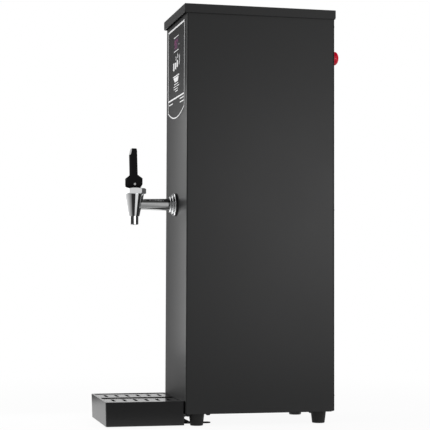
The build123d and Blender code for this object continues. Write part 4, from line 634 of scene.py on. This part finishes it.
component_black = Finish("component_black")
component_grain = component_black.noise(2200.0, detail=3.0)
component_black.surface(
    {
        "Base Color": component_black.blend(component_grain, (0.018, 0.018, 0.018), (0.040, 0.040, 0.041)),
        "Roughness": 0.5 + component_grain * 0.15,
        "Normal": component_black.bump(component_grain, distance=0.00004, strength=0.5),
    }
).on("digit_display", "power_relay", "overheat_thermostat", "valve_coil")

natural_nylon = Finish("natural_nylon")
nylon_cloud = natural_nylon.noise(120.0, detail=3.0)
natural_nylon.surface(
    {
        "Base Color": natural_nylon.blend(nylon_cloud, (0.66, 0.64, 0.58), (0.78, 0.77, 0.72)),
        "Roughness": 0.4 + nylon_cloud * 0.15,
        "Subsurface Weight": 0.05,
        "Normal": natural_nylon.bump(nylon_cloud, distance=0.00005, strength=0.4),
    }
).on("board_standoffs", "terminal_block")

zinc_sheet = Finish("zinc_sheet")
spangle = zinc_sheet.node("TexVoronoi", {}, {"Vector": zinc_sheet.place(), "Scale": 190.0}, out="Color")
spangle_tone = zinc_sheet.node("SeparateColor", {}, {"Color": spangle})
zinc_sheet.surface(
    {
        "Base Color": zinc_sheet.blend(spangle_tone, (0.46, 0.48, 0.50), (0.62, 0.63, 0.64)),
        "Metallic": 1.0,
        "Roughness": 0.32 + spangle_tone * 0.2,
        "Normal": zinc_sheet.bump(spangle_tone, distance=0.00002, strength=0.3),
    }
).on("electrics_bracket", "tank_shelf")

# ---------------------------------------------------------------- switch, gland and inlet
# The mains switch is a domed red push button in a black bezel, glossy at its crown. The cord gland,
# the water inlet with its threaded nipple and the drain cap are black glass-filled nylon.

black_nylon = Finish("black_nylon")
nylon_grain = black_nylon.noise(2000.0, detail=3.0)
black_nylon.surface(
    {
        "Base Color": black_nylon.blend(nylon_grain, (0.014, 0.014, 0.015), (0.034, 0.034, 0.035)),
        "Roughness": 0.38 + nylon_grain * 0.15,
        "Normal": black_nylon.bump(nylon_grain, distance=0.00004, strength=0.5),
    }
).on("switch_body", "switch_nut", "cable_gland", "gland_nut", "drain_cap")

threaded_nylon = Finish("threaded_nylon")
thread_pitch = 0.001814
thread_lead_in = 0.004
nipple_y = threaded_nylon.along("Y", threaded_nylon.place())
thread_mask = nipple_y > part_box("rear_panel")[1][1] + thread_lead_in
thread_wave = nipple_y.math("SINE", nipple_y * (2 * math.pi / thread_pitch))
thread_grain = threaded_nylon.noise(2000.0, detail=3.0)
threaded_nylon.surface(
    {
        "Base Color": threaded_nylon.blend(thread_grain, (0.014, 0.014, 0.015), (0.034, 0.034, 0.035)),
        "Roughness": 0.36 + thread_grain * 0.15,
        "Normal": threaded_nylon.bump(thread_wave * thread_mask * 0.5, distance=0.0008, strength=0.8),
    }
).on("inlet_valve")

red_button = Finish("red_button")
button_cloud = red_button.noise(150.0, detail=2.0)
button_rim = red_button.node("LayerWeight", {}, {"Blend": 0.5}, out="Facing")
red_button.surface(
    {
        "Base Color": red_button.blend(button_cloud, (0.54, 0.0003, 0.014), (0.68, 0.0006, 0.026)),
        "Roughness": 0.30 + button_cloud * 0.08,
        "Specular IOR Level": 0.0,
        "Coat Weight": slope(red_button, button_rim, (0.36, 0.6), (0.66, 0.0)),
        "Coat Roughness": 0.12,
    }
).on("power_button")

# ---------------------------------------------------------------- tank and water side
# Satin stainless tank and lid with its heater and probes, translucent silicone hoses and seals, and
# a jacket of grey foam round the tank.

satin_stainless = Finish("satin_stainless")
brush_where = satin_stainless.node(
    "Mapping", {}, {"Vector": satin_stainless.place(), "Scale": (1.0, 1.0, 40.0)}
)
brush_lines = satin_stainless.noise(60.0, detail=4.0, vector=brush_where)
satin_stainless.surface(
    {
        "Base Color": satin_stainless.blend(brush_lines, (0.50, 0.50, 0.49), (0.64, 0.64, 0.63)),
        "Metallic": 1.0,
        "Roughness": 0.24 + brush_lines * 0.16,
        "Normal": satin_stainless.bump(brush_lines, distance=0.00003, strength=0.3),
    }
).on("inner_tank", "tank_bottom", "tank_lid", "heating_element", "temperature_probe", "level_probes")

silicone = Finish("silicone")
silicone_cloud = silicone.noise(90.0, detail=2.0)
silicone.surface(
    {
        "Base Color": silicone.blend(silicone_cloud, (0.62, 0.60, 0.56), (0.74, 0.72, 0.68)),
        "Roughness": 0.35 + silicone_cloud * 0.1,
        "Subsurface Weight": 0.2,
        "Normal": silicone.bump(silicone_cloud, distance=0.00004, strength=0.3),
    }
).on("lid_gasket", "heater_gasket", "fill_hose", "drain_pipe", "vent_pipe", "outlet_sleeve")

insulating_foam = Finish("insulating_foam")
foam_cells = insulating_foam.node("TexVoronoi", {}, {"Vector": insulating_foam.place(), "Scale": 900.0})
insulating_foam.surface(
    {
        "Base Color": insulating_foam.blend(foam_cells, (0.045, 0.045, 0.047), (0.12, 0.12, 0.12)),
        "Roughness": 0.8 + foam_cells * 0.15,
        "Normal": insulating_foam.bump(foam_cells, distance=0.0002, strength=0.6),
    }
).on("tank_insulation")

# ---------------------------------------------------------------- springs, clips and pin
# The tap's closing spring and the switch's return spring are cold-wound round steel wire. Each
# is drawn at one length between two seats. The hose clips and the lever's pin
# are the same bright drawn steel.

spring_steel = Finish("spring_steel")
steel_draw = spring_steel.noise(1600.0, detail=3.0)
spring_steel.surface(
    {
        "Base Color": spring_steel.blend(steel_draw, (0.48, 0.48, 0.47), (0.66, 0.66, 0.65)),
        "Metallic": 1.0,
        "Roughness": 0.2 + steel_draw * 0.15,
        "Normal": spring_steel.bump(steel_draw, distance=0.00002, strength=0.3),
    }
).on("button_spring", "hose_clips", "stem_spring", "lever_pin")


def coil_spring(name, node, along, turns):
    """Wire wound round the middle of a CAD node's box, from its lowest end to its highest."""
    wire_radius = 0.0005
    coil_radius = 0.005
    turn_steps = 24
    wire_sides = 8
    low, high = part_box(node)
    along = Vector(along)
    middle = (low + high) / 2
    climb = (high - low).dot(along) - 2 * wire_radius
    side = along.orthogonal().normalized()
    other = along.cross(side)
    form = bmesh.new()
    rings = []
    for i in range(turns * turn_steps + 1):
        turn = i * math.tau / turn_steps
        outward = side * math.cos(turn) + other * math.sin(turn)
        centre = middle + outward * coil_radius + along * climb * (i / (turns * turn_steps) - 0.5)
        ring = []
        for k in range(wire_sides):
            angle = math.tau * k / wire_sides
            spoke = outward * math.cos(angle) + along * math.sin(angle)
            ring.append(form.verts.new(centre + spoke * wire_radius))
        rings.append(ring)
    form.faces.new(rings[0])
    form.faces.new(rings[-1][::-1])
    for ring, after in zip(rings, rings[1:]):
        for k in range(wire_sides):
            j = (k + 1) % wire_sides
            form.faces.new((ring[k], after[k], after[j], ring[j])).smooth = True
    bmesh.ops.recalc_face_normals(form, faces=form.faces)
    coil = formed(name, form, spring_steel)
    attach(coil, "cabinet")
    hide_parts(node)
    return coil


closing_coil = coil_spring("closing_coil", "stem_spring", (0, 0, 1), turns=5)
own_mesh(closing_coil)

return_coil = coil_spring("return_coil", "button_spring", (0, 1, 0), turns=4)
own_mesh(return_coil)

# ---------------------------------------------------------------- tap metal
# Cast and turned brass: cone, shank, spout, stepped escutcheon and hexagon nut are polished and
# chrome plated. The lock nut and the stem inside stay bare brass. The panel seal is rubber.

chrome = Finish("chrome")
chrome_smear = chrome.noise(140.0, detail=3.0)
chrome_polish = chrome.noise(1800.0, detail=2.0)
chrome.surface(
    {
        "Base Color": chrome.blend(chrome_smear, (0.70, 0.71, 0.72), (0.80, 0.80, 0.80)),
        "Metallic": 1.0,
        "Roughness": 0.035 + chrome_smear * 0.04,
        "Normal": chrome.bump(chrome_polish, distance=0.000006, strength=0.2),
    }
).on("tap_body", "tap_rosette", "bonnet_nut")

turned_brass = Finish("turned_brass")
brass_lines = turned_brass.noise(700.0, detail=3.0)
turned_brass.surface(
    {
        "Base Color": turned_brass.blend(brass_lines, (0.60, 0.42, 0.16), (0.76, 0.58, 0.27)),
        "Metallic": 1.0,
        "Roughness": 0.22 + brass_lines * 0.15,
        "Normal": turned_brass.bump(brass_lines, distance=0.00002, strength=0.3),
    }
).on("tap_locknut", "tap_stem")

seal_rubber = Finish("seal_rubber")
seal_grain = seal_rubber.noise(2400.0, detail=3.0)
seal_rubber.surface(
    {
        "Base Color": seal_rubber.blend(seal_grain, (0.008, 0.008, 0.008), (0.020, 0.020, 0.020)),
        "Roughness": 0.55 + seal_grain * 0.2,
        "Normal": seal_rubber.bump(seal_grain, distance=0.00004, strength=0.5),
    }
).on("tap_gasket", "seat_cup")

# ---------------------------------------------------------------- tap lever
# A glass-filled nylon moulding with a fine matte grain, hung on the stem's head by a steel pin that
# shows on both cheeks. Its thumb bevel is polished by use.

lever_plastic = Finish("lever_plastic")
lever_grain = lever_plastic.noise(2600.0, detail=3.0)
lever_z = lever_plastic.along("Z", lever_plastic.place())
bevel_height = 0.0098
bevel_lean = 0.25
bevel_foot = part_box("tap_lever")[1][2] - bevel_height
thumb_polish = (lever_z > bevel_foot) * (lever_plastic.facing("Y") < -bevel_lean)
lever_plastic.surface(
    {
        "Base Color": lever_plastic.blend(lever_grain, (0.009, 0.009, 0.0093), (0.014, 0.014, 0.0144)),
        "Roughness": 0.44 + lever_grain * 0.12 - thumb_polish * 0.2,
        "Specular IOR Level": 0.0,
        "Coat Weight": thumb_polish * 0.6,
        "Coat Roughness": 0.12,
        "Normal": lever_plastic.bump(lever_grain, distance=0.00004, strength=0.5),
    }
).on("tap_lever")

# ---------------------------------------------------------------- drip tray
# A moulded black tub with a fine spark-eroded grain, and its lift-out slotted cover, glossier on top
# from wear and wiping. A black-painted steel plate under it has a prong that runs beside a foot.

tray_plastic = Finish("tray_plastic")
tray_grain = tray_plastic.noise(2200.0, detail=3.0)
tray_plastic.surface(
    {
        "Base Color": tray_plastic.blend(tray_grain, (0.004, 0.004, 0.0043), (0.009, 0.009, 0.0093)),
        "Roughness": 0.24 + tray_grain * 0.06,
        "Specular IOR Level": 0.40,
        "Normal": tray_plastic.bump(tray_grain, distance=0.00003, strength=0.4),
    }
).on("drip_tray")

wiped_plastic = Finish("wiped_plastic")
wiped_grain = wiped_plastic.noise(2200.0, detail=3.0)
wipe_marks = wiped_plastic.noise(30.0, detail=2.0)
slot_side = 1.0 - (wiped_plastic.facing("Z") > 0.5)
wiped_plastic.surface(
    {
        "Base Color": wiped_plastic.blend(wiped_grain, (0.0015, 0.0015, 0.0016), (0.0035, 0.0035, 0.0037)),
        "Roughness": 0.13 + wipe_marks * 0.06 + wiped_grain * 0.04 + slot_side * 0.7,
        "Specular IOR Level": 0.28,
        "Normal": wiped_plastic.bump(wiped_grain, distance=0.00001, strength=0.3),
    }
).on("tray_cover")

fork_paint = Finish("fork_paint")
fork_grain = fork_paint.noise(1900.0, detail=3.0)
fork_paint.surface(
    {
        "Base Color": fork_paint.blend(fork_grain, (0.004, 0.004, 0.004), (0.009, 0.009, 0.009)),
        "Roughness": 0.62 + fork_grain * 0.2,
        "Specular IOR Level": 0.2,
        "Normal": fork_paint.bump(fork_grain, distance=0.00004, strength=0.5),
    }
).on("tray_fork")
